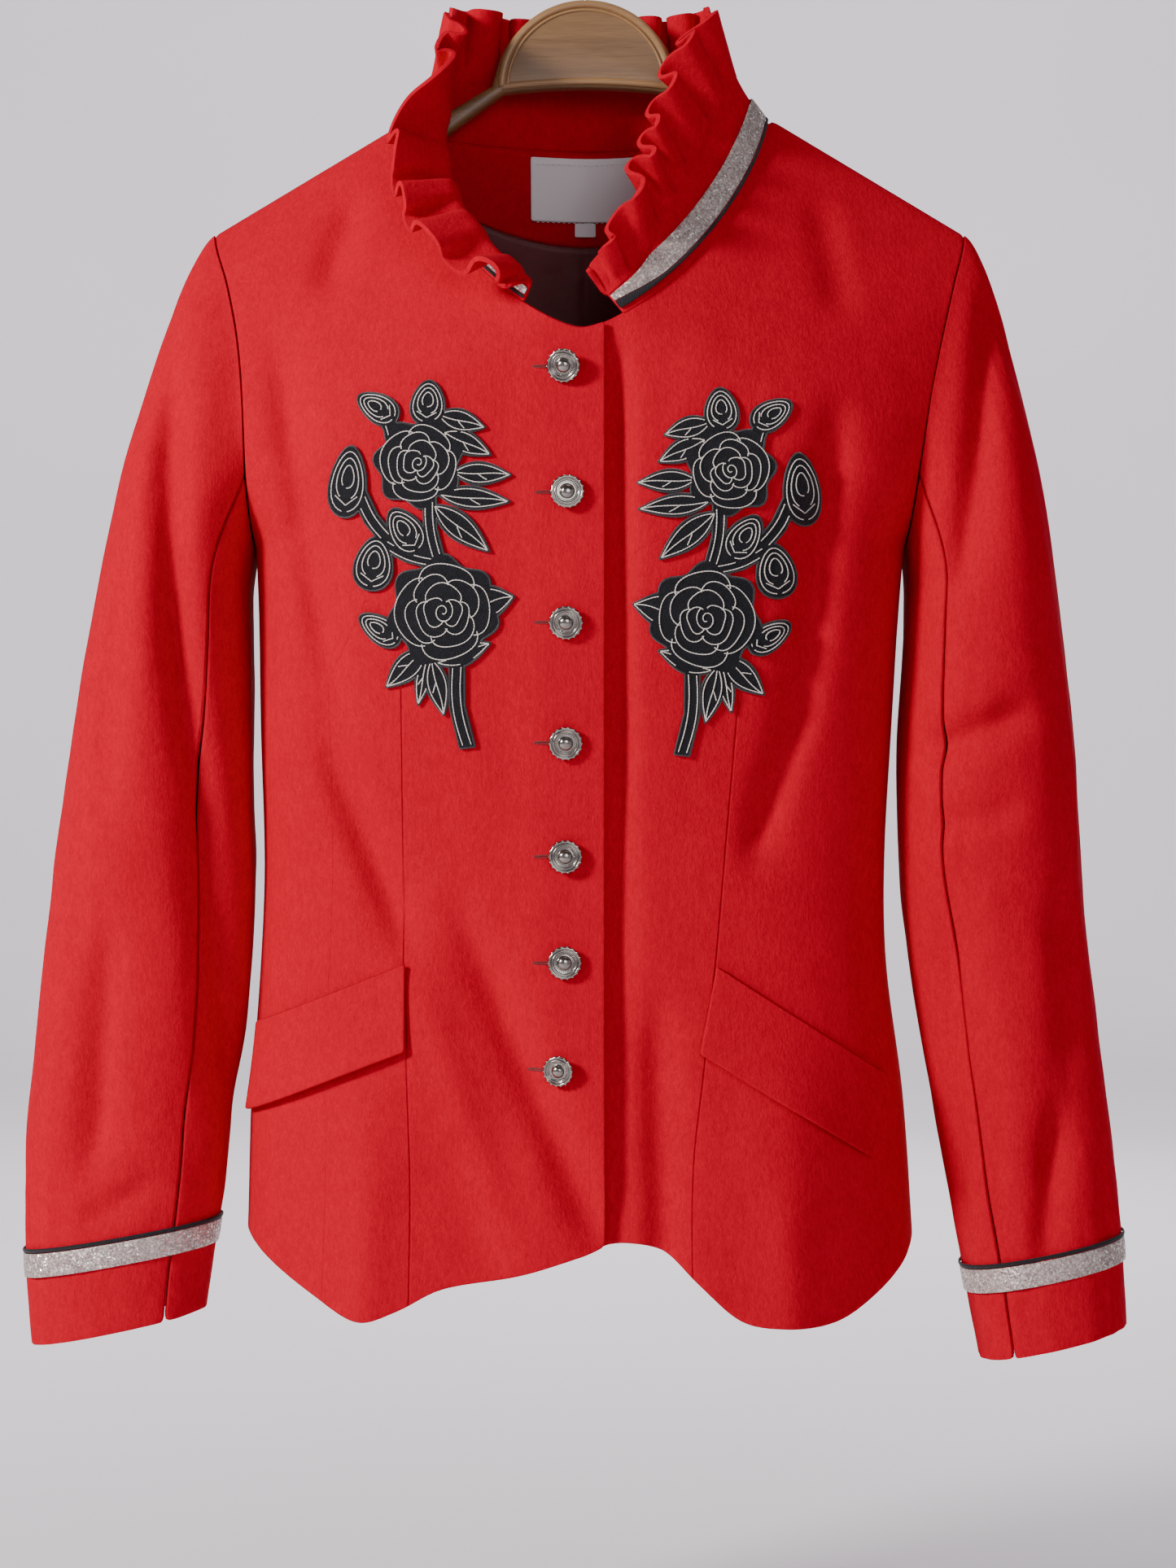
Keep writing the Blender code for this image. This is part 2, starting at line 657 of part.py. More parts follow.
def sleeve_normal(sleeve, angle, v):
    """Outward normal of a sleeve, level with the armhole seam where it starts there."""
    turn = math.radians(3.0)
    around = sleeve_point(sleeve, angle + turn, v) - sleeve_point(sleeve, angle - turn, v)
    along = sleeve_point(sleeve, angle, min(v + 0.02, 1.0)) - sleeve_point(sleeve, angle, max(v - 0.02, 0.0))
    normal = around.cross(along).normalized()
    point = sleeve_point(sleeve, angle, v)
    away = point - sleeve_middle(sleeve, point.z)
    if v < SLEEVE_CAP_SHARE:
        away.z = (point.z - SLEEVE_HEAD_MIDDLE_Z) * 0.6
    if normal.dot(away) < 0:
        normal.negate()
    if v == 0.0:
        normal.x = 0.0
        normal.normalize()
    return normal


def sleeve_rows():
    """Places of a sleeve's rows from the armhole to the cuff."""
    cap = [SLEEVE_CAP_SHARE * (k / SLEEVE_CAP_ROWS) ** 1.3 for k in range(SLEEVE_CAP_ROWS)]
    body = [
        blend(SLEEVE_CAP_SHARE, 1.0, k / SLEEVE_BODY_ROWS) for k in range(SLEEVE_BODY_ROWS + 1)
    ]
    return cap + body


def sleeve_angles(upper):
    """Angles of the columns of the top sleeve or of the under sleeve."""
    if upper:
        first = -SLEEVE_SEAM_DEGREES + SLEEVE_SEAM_PARTING
        last = SLEEVE_SEAM_DEGREES - SLEEVE_SEAM_PARTING
        count = TOP_SLEEVE_COLUMNS
    else:
        first = SLEEVE_SEAM_DEGREES + SLEEVE_SEAM_PARTING
        last = 360.0 - SLEEVE_SEAM_DEGREES - SLEEVE_SEAM_PARTING
        count = UNDER_SLEEVE_COLUMNS
    return [math.radians(blend(first, last, k / count)) for k in range(count + 1)]


def sleeve_piece(name, sleeve, upper, material):
    """Make the top or the under piece of a sleeve."""
    angles = sleeve_angles(upper)
    rows = sleeve_rows()

    def outer(i, j):
        return sleeve_point(sleeve, angles[i], rows[j])

    def inner(i, j):
        return outer(i, j) - sleeve_normal(sleeve, angles[i], rows[j]) * WOOL

    return cloth_wall(name, len(angles) - 1, len(rows) - 1, outer, inner, material)


def cuff_band(name, sleeve, low, width, material):
    """Make a band round a sleeve, from the sleeve's own points moved out, open by a hair at its back seam."""
    rims = sleeve_angles(True) + sleeve_angles(False)[1:]
    rims[-1] -= math.radians(CUFF_TRIM_OPEN_DEGREES)
    length = (SLEEVE_TOP_Z - CUFF_LEVEL_Z) / (1.0 - SLEEVE_CAP_SHARE)
    places = (1.0 - low / length, 1.0 - (low + width) / length)

    def lifted(i, j, height):
        point = sleeve_point(sleeve, rims[i], places[j])
        return point + sleeve_normal(sleeve, rims[i], places[j]) * height

    def outer(i, j):
        return lifted(i, j, LAY_GAP + TRIM_WALL)

    def inner(i, j):
        return lifted(i, j, LAY_GAP)

    return cloth_wall(name, len(rims) - 1, 1, outer, inner, material)


def neckline_points():
    """Points of the neckline from the collar's left end round the back to its right end."""
    points = []
    left_corner = NECK_MIDDLE_X - NECK_HALF_WIDTH
    right_corner = NECK_MIDDLE_X + NECK_HALF_WIDTH
    steps = 24
    for k in range(steps):
        x = left_corner + (COLLAR_LEFT_END_X - left_corner) * (1.0 - k / steps) ** 2
        points.append(front_point(x, neck_z(x, True)))
    for k in range(2 * steps):
        turn = math.pi * k / (2 * steps)
        x = NECK_MIDDLE_X - NECK_HALF_WIDTH * math.cos(turn)
        z = neck_z(x, False)
        points.append(Vector((x, torso_y(x, z, False), z)))
    for k in range(steps + 1):
        x = right_corner + (COLLAR_RIGHT_END_X - right_corner) * (k / steps) ** 2
        points.append(front_point(max(x, LAP_EDGE_X + 0.1), neck_z(x, True)))
    return points


def neckline_table():
    """The neckline as a list of (share of the way round, point)."""
    points = neckline_points()
    lengths = [0.0]
    for first, second in zip(points, points[1:]):
        lengths.append(lengths[-1] + (second - first).length)
    return [(length / lengths[-1], point) for length, point in zip(lengths, points)]


NECKLINE = neckline_table()


def neckline_at(place):
    """A point of the neckline at a share of the way round, with its neighbours averaged in."""
    total = Vector()
    for offset in NECKLINE_SMOOTHING:
        where = min(max(place + offset, 0.0), 1.0)
        index = 0
        while index < len(NECKLINE) - 2 and NECKLINE[index + 1][0] < where:
            index += 1
        low, start = NECKLINE[index]
        high, end = NECKLINE[index + 1]
        total += start.lerp(end, (where - low) / (high - low))
    return total / len(NECKLINE_SMOOTHING)


def collar_frame(place):
    """Foot point, inward direction and upward direction of the collar at a share of the way round."""
    foot = neckline_at(place)
    ahead = neckline_at(min(place + COLLAR_TURN_SPAN, 1.0))
    behind = neckline_at(max(place - COLLAR_TURN_SPAN, 0.0))
    tangent = (ahead - behind).normalized()
    inward = COLLAR_CENTRE - foot
    inward = (inward - tangent * inward.dot(tangent)).normalized()
    upward = inward.cross(tangent).normalized()
    if upward.z < 0:
        upward.negate()
    return foot + upward * COLLAR_SEAT_LIFT, inward, upward


def collar_reading(place, column):
    """Read a column of the collar's table at a share of the way round."""
    return read_column(COLLAR, "place", column, place)


def collar_angle(place, share):
    """Angle above the inward direction at which the collar runs, at a share of its whole width."""
    start = math.radians(collar_reading(place, "start"))
    finish = math.radians(collar_reading(place, "finish"))
    stand = collar_reading(place, "stand")
    whole = stand + collar_reading(place, "ruffle")
    bend_from = 0.8 * stand / whole
    return blend(start, finish, soft_step((share - bend_from) / CURL_SHARE))


def collar_point(place, distance, lift=0.0):
    """A point of the collar at a distance from the neckline, moved out along the collar's own normal."""
    foot, inward, upward = collar_frame(place)
    whole = collar_reading(place, "stand") + collar_reading(place, "ruffle")
    steps = 14
    point = foot.copy()
    for k in range(steps):
        angle = collar_angle(place, (k + 0.5) / steps * distance / whole)
        run = distance / steps
        point += (inward * math.cos(angle) + upward * math.sin(angle)) * run
    angle = collar_angle(place, distance / whole)
    normal = upward * math.cos(angle) - inward * math.sin(angle)
    return point + normal * lift


def collar_strip(name, steps, from_distance, to_distance, gap, wall, rows, material, ends=(0.0, 1.0)):
    """Make a strip of the collar between two distances from the neckline."""
    def place_of(i):
        return blend(ends[0], ends[1], i / steps)

    def distance_of(i, j):
        place = place_of(i)
        return blend(from_distance(place), to_distance(place), j / rows)

    def outer(i, j):
        return collar_point(place_of(i), distance_of(i, j), gap + wall)

    def inner(i, j):
        return collar_point(place_of(i), distance_of(i, j), gap)

    return cloth_wall(name, steps, rows, outer, inner, material)


def make_collar_stand(material):
    """Make the plain band of the collar, its outer face on the collar's own surface."""
    def foot(place):
        return SEAM_GAP

    def head(place):
        return collar_reading(place, "stand")

    return collar_strip("collar_stand", COLLAR_STEPS, foot, head, -WOOL, WOOL, 3, material)


def braid_width(place):
    """Width of the collar's braid, which widens into a wedge at the right end."""
    return blend(COLLAR_BRAID_WIDTH, COLLAR_BRAID_END_WIDTH, soft_step((place - 0.93) / 0.07))


def make_collar_ribbon(material):
    """Make the silver ribbon on the foot of the collar's band."""
    def low(place):
        return COLLAR_TRIM_FOOT + braid_width(place) + TRIM_PARTING

    def high(place):
        return min(low(place) + COLLAR_RIBBON_WIDTH, collar_reading(place, "stand") - COLLAR_RIBBON_HEADROOM)

    return collar_strip(
        "collar_ribbon", COLLAR_STEPS, low, high, COLLAR_RIBBON_GAP, TRIM_WALL, 1, material
    )


def make_collar_braid(material):
    """Make the black braid along the foot of the ribbon."""
    def low(place):
        return COLLAR_TRIM_FOOT

    def high(place):
        return COLLAR_TRIM_FOOT + braid_width(place)

    return collar_strip(
        "collar_braid", COLLAR_STEPS, low, high, COLLAR_RIBBON_GAP, TRIM_WALL, 1, material
    )


def ruffle_wave(place, rise):
    """How far the ruffle's wave carries the cloth to one side, growing toward its free edge."""
    count = RUFFLE_WAVES * place
    swing = math.sin(2 * math.pi * (count + 0.35 * math.sin(2.1 * count) / 2))
    uneven = 1.0 + 0.25 * math.sin(1.7 * count + 0.6)
    return collar_reading(place, "wave") * uneven * swing * rise ** 0.8


def make_collar_ruffle(material):
    """Make the gathered strip that waves above the collar's band."""
    steps = RUFFLE_WAVES * RUFFLE_STEPS_A_WAVE

    def spot(i, j, side):
        place = i / steps
        rise = j / RUFFLE_ROWS
        stand = collar_reading(place, "stand") + SEAM_GAP
        distance = stand + collar_reading(place, "ruffle") * rise
        lift = ruffle_wave(place, rise) - RUFFLE_WALL * side
        return collar_point(place, distance, lift)

    def outer(i, j):
        return spot(i, j, 0.0)

    def inner(i, j):
        return spot(i, j, 1.0)

    return cloth_wall("collar_ruffle", steps, RUFFLE_ROWS, outer, inner, material)


def flap_spot(corners, p, q):
    """A place in the front view inside a flap's four corners."""
    top_in, top_out, low_out, low_in = (Vector(corner) for corner in corners)
    return top_in.lerp(top_out, p).lerp(low_in.lerp(low_out, p), q)


def make_flap(name, corners, material):
    """Make a pocket flap from the front's points, moved out, its free edge a little further."""
    def lifted(i, j, height):
        place = flap_spot(corners, i / FLAP_COLUMNS, 1.0 - j / FLAP_ROWS)
        edge = edge_x(place.y, -1 if place.x < 0 else 1) * 0.99
        x = min(max(place.x, -edge), edge)
        lift = height + FLAP_TIP_LIFT * (1.0 - j / FLAP_ROWS) ** 2
        return front_point(x, place.y) + front_normal(x, place.y) * lift

    def outer(i, j):
        return lifted(i, j, FLAP_GAP + WOOL)

    def inner(i, j):
        return lifted(i, j, FLAP_GAP)

    return cloth_wall(name, FLAP_COLUMNS, FLAP_ROWS, outer, inner, material)


def rose_outline(piece):
    """Outline of a rose with shallow lobes."""
    points = []
    for k in range(ROSE_POINTS):
        angle = 2 * math.pi * k / ROSE_POINTS
        radius = piece.length / 2 * (1.0 + ROSE_LOBE_DEPTH * math.cos(ROSE_LOBES * angle))
        points.append((radius * math.sin(angle), radius * math.cos(angle)))
    return points


def bud_outline(piece):
    """Outline of a bud, round below and narrower above."""
    points = []
    for k in range(BUD_POINTS):
        angle = 2 * math.pi * k / BUD_POINTS
        narrow = 1.0 - 0.25 * math.cos(angle)
        points.append((piece.width / 2 * narrow * math.sin(angle), piece.length / 2 * math.cos(angle)))
    return points


def leaf_outline(piece):
    """Outline of a leaf with a point at each end."""
    right = []
    for k in range(LEAF_POINTS):
        share = k / LEAF_POINTS
        right.append((piece.width / 2 * math.sin(math.pi * share ** 0.85), piece.length * (share - 0.5)))
    left = [(-x, z) for x, z in reversed(right[1:])]
    return right + [(0.0, piece.length / 2)] + left


def stem_outline(piece):
    """Outline of a stem, a narrow strip with a slight bow."""
    half = piece.width / 2
    bow = piece.length * 0.06
    low, high = -piece.length / 2, piece.length / 2
    return [(-half, low), (half, low), (half + bow, 0.0), (half, high), (-half, high), (-half + bow, 0.0)]


OUTLINES = {"rose": rose_outline, "bud": bud_outline, "leaf": leaf_outline, "stem": stem_outline}


def spray_outline(piece):
    """Outline of one piece of a spray in the spray's flat frame."""
    turn = math.radians(piece.turn)
    points = []
    for x, z in OUTLINES[piece.kind](piece):
        across = piece.x + x * math.cos(turn) + z * math.sin(turn)
        points.append(Vector((across, piece.z - x * math.sin(turn) + z * math.cos(turn))))
    area = sum(p.x * q.y - q.x * p.y for p, q in zip(points, points[1:] + points[:1]))
    return points if area > 0 else points[::-1]


def spray_triangles():
    """Join the outlines of a spray into one flat sheet of triangles, fine enough to bend."""
    points = []
    loops = []
    for piece in SPRAY:
        outline = spray_outline(piece)
        loops.append(list(range(len(points), len(points) + len(outline))))
        points.extend(outline)
    reach = 100.0
    steps = int(2 * reach / SPRAY_GRID)
    for i in range(steps + 1):
        for j in range(steps + 1):
            points.append(Vector((-reach + i * SPRAY_GRID, -reach + j * SPRAY_GRID)))
    found = delaunay_2d_cdt(points, [], loops, 1, 0.05)
    return found[0], found[2]


def make_spray(name, origin, mirror, material):
    """Make an applique spray from the front's points, moved out."""
    flat_points, triangles = spray_triangles()
    used = sorted({index for triangle in triangles for index in triangle})
    bm = bmesh.new()
    verts = {index: bm.verts.new((*flat_points[index], 0.0)) for index in used}
    for triangle in triangles:
        bm.faces.new([verts[index] for index in triangle])
    made = bmesh.ops.extrude_face_region(bm, geom=bm.faces[:], use_keep_orig=True)
    lifted = {part for part in made["geom"] if isinstance(part, bmesh.types.BMVert)}
    for vert in bm.verts:
        x = origin.x + vert.co.x * mirror
        z = origin.z + vert.co.y
        height = LAY_GAP + (APPLIQUE_WALL if vert in lifted else 0.0)
        vert.co = front_point(x, z) + front_normal(x, z) * height
    return finish_mesh(name, bm, material)


def button_profile(size):
    """Half section of a button, from the middle of its back round the rim to the middle of its dome."""
    radius = size / 2
    return (
        (0.0, 0.0), (radius * 0.62, 0.0), (radius * 0.98, 1.2), (radius, 2.4), (radius * 0.8, 3.4),
        (radius * 0.62, 2.6), (radius * 0.36, 2.9), (radius * 0.2, 4.4), (0.0, BUTTON_THICKNESS),
    )


def make_button(name, row, material):
    """Turn a button about its axis, scallop its rim and seat it on the lapping front."""
    bm = bmesh.new()
    profile = [bm.verts.new((r, 0.0, h)) for r, h in button_profile(row.size)]
    edges = [bm.edges.new(pair) for pair in zip(profile, profile[1:])]
    bmesh.ops.spin(
        bm, geom=profile + edges, cent=(0, 0, 0), axis=(0, 0, 1), angle=2 * math.pi,
        steps=BUTTON_SIDES, use_duplicate=False,
    )
    bmesh.ops.remove_doubles(bm, verts=bm.verts, dist=0.01)
    for vert in bm.verts:
        radius = math.hypot(vert.co.x, vert.co.y)
        if radius > row.size * 0.45:
            place = round(math.atan2(vert.co.y, vert.co.x) / (2 * math.pi) * BUTTON_SIDES)
            shrink = 0.96 if place % 2 else 1.0
            vert.co.x *= shrink
            vert.co.y *= shrink
    normal = front_normal(row.x, row.z)
    facing = normal.to_track_quat("Z", "Y").to_matrix().to_4x4()
    lean = Matrix.Rotation(math.radians(row.lean), 4, "Y") @ Matrix.Rotation(math.radians(row.nod), 4, "X")
    tilt = row.size / 2 * math.sin(math.radians(max(abs(row.lean), abs(row.nod))))
    seat = front_point(row.x, row.z) + normal * (BUTTON_SEAT_GAP + tilt * BUTTON_TILT_SHARE)
    bmesh.ops.transform(bm, matrix=Matrix.Translation(seat) @ facing @ lean, verts=bm.verts)
    return finish_mesh(name, bm, material)


def back_inside(x, z, depth):
    """A point a depth inside the outer face of the back."""
    step = 1.0
    here = Vector((x, torso_y(x, z, False), z))
    across = Vector((x + step, torso_y(x + step, z, False), z)) - here
    along = Vector((x, torso_y(x, z + step, False), z + step)) - here
    normal = along.cross(across).normalized()
    return here - normal * depth


def inside_sheet(name, columns, rows, spot, depth, wall, material):
    """Make a thin sheet inside the back, at a depth from the back's outer face."""
    def outer(i, j):
        x, z, rise = spot(i / columns, j / rows)
        return back_inside(x, z, depth + rise)

    def inner(i, j):
        x, z, rise = spot(i / columns, j / rows)
        return back_inside(x, z, depth + rise + wall)

    return cloth_wall(name, columns, rows, outer, inner, material)


def make_inside_pieces(red, satin, woven):
    """Make the facing, the lining, the label and the size tab inside the back of the neck."""
    label_depth = FACING_DEPTH + FACING_WALL + LABEL_GAP

    def facing_low(x):
        return FACING_LOW_Z + FACING_SIDE_RISE * (abs(x) / FACING_HALF_WIDTH) ** 2

    def facing(p, q):
        x = blend(-FACING_HALF_WIDTH, FACING_HALF_WIDTH, p)
        return x, blend(facing_low(x), neck_z(x, False) - 2.5, q), 0.0

    def lining(p, q):
        x = blend(-LINING_HALF_WIDTH, LINING_HALF_WIDTH, p)
        held_x = min(max(x, -FACING_HALF_WIDTH), FACING_HALF_WIDTH)
        rise = PLEAT_RISE * math.exp(-((x / PLEAT_WIDTH) ** 2))
        return x, blend(LINING_LOW_Z, facing_low(held_x) - SEAM_GAP, q), rise

    def label(p, q):
        x = blend(LABEL_LEFT_X, LABEL_RIGHT_X, p)
        return x, blend(LABEL_TOP_Z - LABEL_HEIGHT, LABEL_TOP_Z, q), 0.0

    def tab(p, q):
        x = TAB_LEFT_X + TAB_WIDTH * p
        z = LABEL_TOP_Z - LABEL_HEIGHT - SEAM_GAP
        return x, blend(z - TAB_HEIGHT, z, q), 0.0

    inside_sheet("back_facing", 12, 3, facing, FACING_DEPTH, FACING_WALL, red)
    inside_sheet("back_lining", 14, 5, lining, LINING_DEPTH, FACING_WALL, satin)
    inside_sheet("label", 6, 2, label, label_depth, LABEL_WALL, woven)
    inside_sheet("size_tab", 1, 1, tab, label_depth, LABEL_WALL, woven)


def plate_arc(half_width, rise):
    """Points of the half-round plate of the hanger from its left foot over the top to its right one."""
    points = []
    for k in range(PLATE_ARC_STEPS + 1):
        angle = math.pi * (1.0 - k / PLATE_ARC_STEPS)
        points.append((half_width * math.cos(angle), PLATE_FOOT_Z + rise * math.sin(angle)))
    return points


def arm_top_z(x):
    """Height of the upper edge of a hanger arm."""
    return shoulder_z(x) - ARM_DROP


def extrude_outline(bm, outline, near_y, far_y):
    """Make a plate from an outline in the front view."""
    face = bm.faces.new([bm.verts.new((x, near_y, z)) for x, z in outline])
    made = bmesh.ops.extrude_face_region(bm, geom=[face], use_keep_orig=True)
    for part in made["geom"]:
        if isinstance(part, bmesh.types.BMVert):
            part.co.y = far_y


def make_hanger_body(material):
    """Make the half-round plate and the two arms of the hanger as one piece of wood."""
    arc_foot_z = arm_top_z(PLATE_HALF_WIDTH)
    arc = [point for point in plate_arc(PLATE_HALF_WIDTH, PLATE_RISE) if point[1] > arc_foot_z]
    left_end = -ARM_END_X
    slope_foot_z = arc_foot_z - 2.0
    left = [
        (left_end + 10.0, arm_top_z(left_end) - ARM_HEIGHT + 6.0),
        (left_end, arm_top_z(left_end) - ARM_HEIGHT * 0.6),
        (left_end + 1.5, arm_top_z(left_end + 1.5) - 3.0),
        (left_end + 7.0, arm_top_z(left_end + 7.0)),
        (-PLATE_HALF_WIDTH - 1.0, arm_top_z(-PLATE_HALF_WIDTH - 1.0)),
    ]
    right_end = ARM_END_X
    right = [
        (PLATE_HALF_WIDTH + 1.0, arm_top_z(PLATE_HALF_WIDTH + 1.0)),
        (right_end - 7.0, arm_top_z(right_end - 7.0)),
        (right_end - 1.5, arm_top_z(right_end - 1.5) - 3.0),
        (right_end, arm_top_z(right_end) - ARM_HEIGHT * 0.6),
        (right_end - 10.0, arm_top_z(right_end) - ARM_HEIGHT + 6.0),
        (PLATE_HALF_WIDTH + 16.0, slope_foot_z - ARM_HEIGHT + 2.0),
        (PLATE_HALF_WIDTH - 6.0, PLATE_FOOT_Z),
        (-PLATE_HALF_WIDTH + 6.0, PLATE_FOOT_Z),
        (-PLATE_HALF_WIDTH - 16.0, slope_foot_z - ARM_HEIGHT + 2.0),
    ]
    bm = bmesh.new()
    half = HANGER_THICKNESS / 2
    extrude_outline(bm, left + arc + right, -half, half)
    rim = [edge for edge in bm.edges if abs(edge.verts[0].co.y - edge.verts[1].co.y) < 0.01]
    bmesh.ops.bevel(
        bm, geom=rim, offset=WOOD_EDGE_ROUND, segments=2, profile=0.5, affect="EDGES", material=-1,
    )
    return finish_mesh("hanger_body", bm, material)


def make_hanger_rim(material):
    """Make the raised border along the round edge of the plate, on its front."""
    outer = plate_arc(PLATE_HALF_WIDTH - RIM_INSET, PLATE_RISE - RIM_INSET)
    inner = plate_arc(PLATE_HALF_WIDTH - RIM_INSET - RIM_WIDTH, PLATE_RISE - RIM_INSET - RIM_WIDTH)
    bm = bmesh.new()
    outline = [(x, z + RIM_FOOT_RISE) for x, z in outer + inner[::-1]]
    back_y = -HANGER_THICKNESS / 2 - RIM_GLUE_GAP
    extrude_outline(bm, outline, back_y - RIM_HEIGHT, back_y)
    return finish_mesh("hanger_rim", bm, material)


def hook_route():
    """Points along the wire of the hook, from the plate up the stem and round to its tip."""
    crown_z = HOOK_WIRE
    centre_z = crown_z - HOOK_RADIUS
    points = [Vector((0, 0, PLATE_FOOT_Z + PLATE_RISE + 0.4)), Vector((0, 0, HOOK_STEM_TOP_Z))]
    start = math.radians(HOOK_START_DEGREES)
    first = Vector((HOOK_RADIUS * math.cos(start), 0, centre_z + HOOK_RADIUS * math.sin(start)))
    heading = Vector((math.sin(start), 0, -math.cos(start)))
    bend_from = points[-1]
    for k in range(1, HOOK_BEND_STEPS):
        t = k / HOOK_BEND_STEPS
        near = bend_from + Vector((0, 0, 11.0))
        far = first - heading * 15.0
        points.append(
            bend_from * (1 - t) ** 3
            + near * 3 * t * (1 - t) ** 2
            + far * 3 * t * t * (1 - t)
            + first * t ** 3
        )
    for k in range(HOOK_ARC_STEPS + 1):
        angle = blend(start, math.radians(HOOK_END_DEGREES), k / HOOK_ARC_STEPS)
        points.append(Vector((HOOK_RADIUS * math.cos(angle), 0, centre_z + HOOK_RADIUS * math.sin(angle))))
    return points


def make_hanger_hook(material):
    """Make the steel hook as a bent wire."""
    curve = bpy.data.curves.new("hanger_hook", "CURVE")
    curve.dimensions = "3D"
    curve.bevel_depth = HOOK_WIRE * MM
    curve.bevel_resolution = 2
    curve.use_fill_caps = True
    route = hook_route()
    spline = curve.splines.new("POLY")
    spline.points.add(len(route) - 1)
    for point, place in zip(spline.points, route):
        point.co = (*(place * MM), 1.0)
    return add_object("hanger_hook", curve, material)


def make_torso(red):
    """Make the two fronts and the back."""
    torso_panel("front_right", FRONT_COLUMNS, FRONT_ROWS, True, -1.0, LAP_EDGE_X, True, red)
    torso_panel("front_left", UNDER_COLUMNS, FRONT_ROWS, True, 1.0, UNDERLAP_EDGE_X, False, red)
    torso_panel("back", BACK_COLUMNS, BACK_ROWS, False, 0.0, None, False, red)


def make_sleeves(red, silver, black):
    """Make both sleeves with the trim round their cuffs."""
    wearer_right = (-1, SLEEVE_RIGHT_OF_WEARER, CUFF_RIGHT_OF_WEARER, SLEEVE_CREASES_RIGHT_OF_WEARER)
    wearer_left = (1, SLEEVE_LEFT_OF_WEARER, CUFF_LEFT_OF_WEARER, SLEEVE_CREASES_LEFT_OF_WEARER)
    for name, sleeve in (("right", wearer_right), ("left", wearer_left)):
        sleeve_piece("top_sleeve_" + name, sleeve, True, red)
        sleeve_piece("under_sleeve_" + name, sleeve, False, red)
        ribbon_low = CUFF_DEPTH - CUFF_RIBBON_WIDTH
        cuff_band("cuff_ribbon_" + name, sleeve, ribbon_low, CUFF_RIBBON_WIDTH, silver)
        cuff_band("cuff_braid_" + name, sleeve, CUFF_DEPTH + TRIM_PARTING, CUFF_BRAID_WIDTH, black)


def make_collar(red, silver, black):
    """Make the collar and its trim."""
    make_collar_stand(red)
    make_collar_ribbon(silver)
    make_collar_braid(black)
    make_collar_ruffle(red)


def make_front_details(red, felt, metal):
    """Make what lies on the fronts: flaps, flower sprays and buttons."""
    make_flap("pocket_flap_right", FLAP_RIGHT_OF_WEARER, red)
    make_flap("pocket_flap_left", FLAP_LEFT_OF_WEARER, red)
    make_spray("rose_patch_right", SPRAY_LEFT_ORIGIN, 1.0, felt)
    make_spray("rose_patch_left", SPRAY_RIGHT_ORIGIN, -1.0, felt)
    for number, row in enumerate(BUTTONS, start=1):
        make_button("button_" + str(number), row, metal)


def build():
    """Make the whole jacket on its hanger."""
    clear_scene()
    red = plain_material("red_wool", (0.55, 0.01, 0.02))
    silver = plain_material("silver_ribbon", (0.5, 0.42, 0.41), 0.35, 0.6)
    black = plain_material("black_braid", (0.012, 0.01, 0.012), 0.7)
    felt = plain_material("black_applique", (0.02, 0.02, 0.024), 0.7)
    metal = plain_material("antique_metal", (0.3, 0.28, 0.25), 0.35, 1.0)
    satin = plain_material("lining_satin", (0.12, 0.005, 0.01), 0.4)
    woven = plain_material("woven_label", (0.8, 0.8, 0.78), 0.6)
    wood = plain_material("hanger_wood", (0.45, 0.28, 0.12), 0.45)
    steel = plain_material("hook_steel", (0.6, 0.6, 0.6), 0.25, 1.0)
    make_torso(red)
    make_sleeves(red, silver, black)
    make_collar(red, silver, black)
    make_front_details(red, felt, metal)
    make_inside_pieces(red, satin, woven)
    make_hanger_body(wood)
    make_hanger_rim(wood)
    make_hanger_hook(steel)


build()
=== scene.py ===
"""Looks of an embroidered wool jacket that hangs on a wooden clothes hanger.

Tables and surface functions are in millimetres in the frame's own axes, and meshes are made in metres.
The front faces -Y and the hanger's hook crowns at the origin. Left and right in the tables are those of
someone who looks at the front, and pieces are named for the wearer.
"""

from collections import namedtuple
from functools import lru_cache
from math import asin, atan2, copysign, cos, exp, hypot, pi, radians, sin, sqrt

import bmesh
import bpy
from bpy.props import FloatProperty, FloatVectorProperty, PointerProperty
from mathutils import Matrix, Vector, noise
from mathutils.bvhtree import BVHTree
from mathutils.geometry import delaunay_2d_cdt


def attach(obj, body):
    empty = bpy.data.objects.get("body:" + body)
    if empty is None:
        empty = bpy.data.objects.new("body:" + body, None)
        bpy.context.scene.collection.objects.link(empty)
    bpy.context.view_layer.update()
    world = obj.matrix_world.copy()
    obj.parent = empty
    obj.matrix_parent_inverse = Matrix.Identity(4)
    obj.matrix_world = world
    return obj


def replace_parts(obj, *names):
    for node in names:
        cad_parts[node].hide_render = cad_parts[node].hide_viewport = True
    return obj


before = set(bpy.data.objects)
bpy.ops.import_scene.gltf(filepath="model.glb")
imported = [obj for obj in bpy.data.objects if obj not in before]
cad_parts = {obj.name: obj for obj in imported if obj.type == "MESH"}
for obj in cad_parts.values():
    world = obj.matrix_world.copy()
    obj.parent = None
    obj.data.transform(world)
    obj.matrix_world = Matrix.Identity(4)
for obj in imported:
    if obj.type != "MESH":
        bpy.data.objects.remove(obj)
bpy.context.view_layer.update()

bl_info = {
    "name": "Embroidered jacket",
    "version": (1, 0, 0),
    "blender": (4, 5, 0),
    "location": "View3D > Sidebar > Jacket",
    "description": "Builds a wool jacket with ruffled collar, ribbon trim and flower sprays on its hanger",
    "category": "Add Mesh",
}

MM = 0.001


def table_of(kind, *brackets):
    """A table with one named row for each bracket of values."""
    return tuple(kind(*bracket) for bracket in brackets)


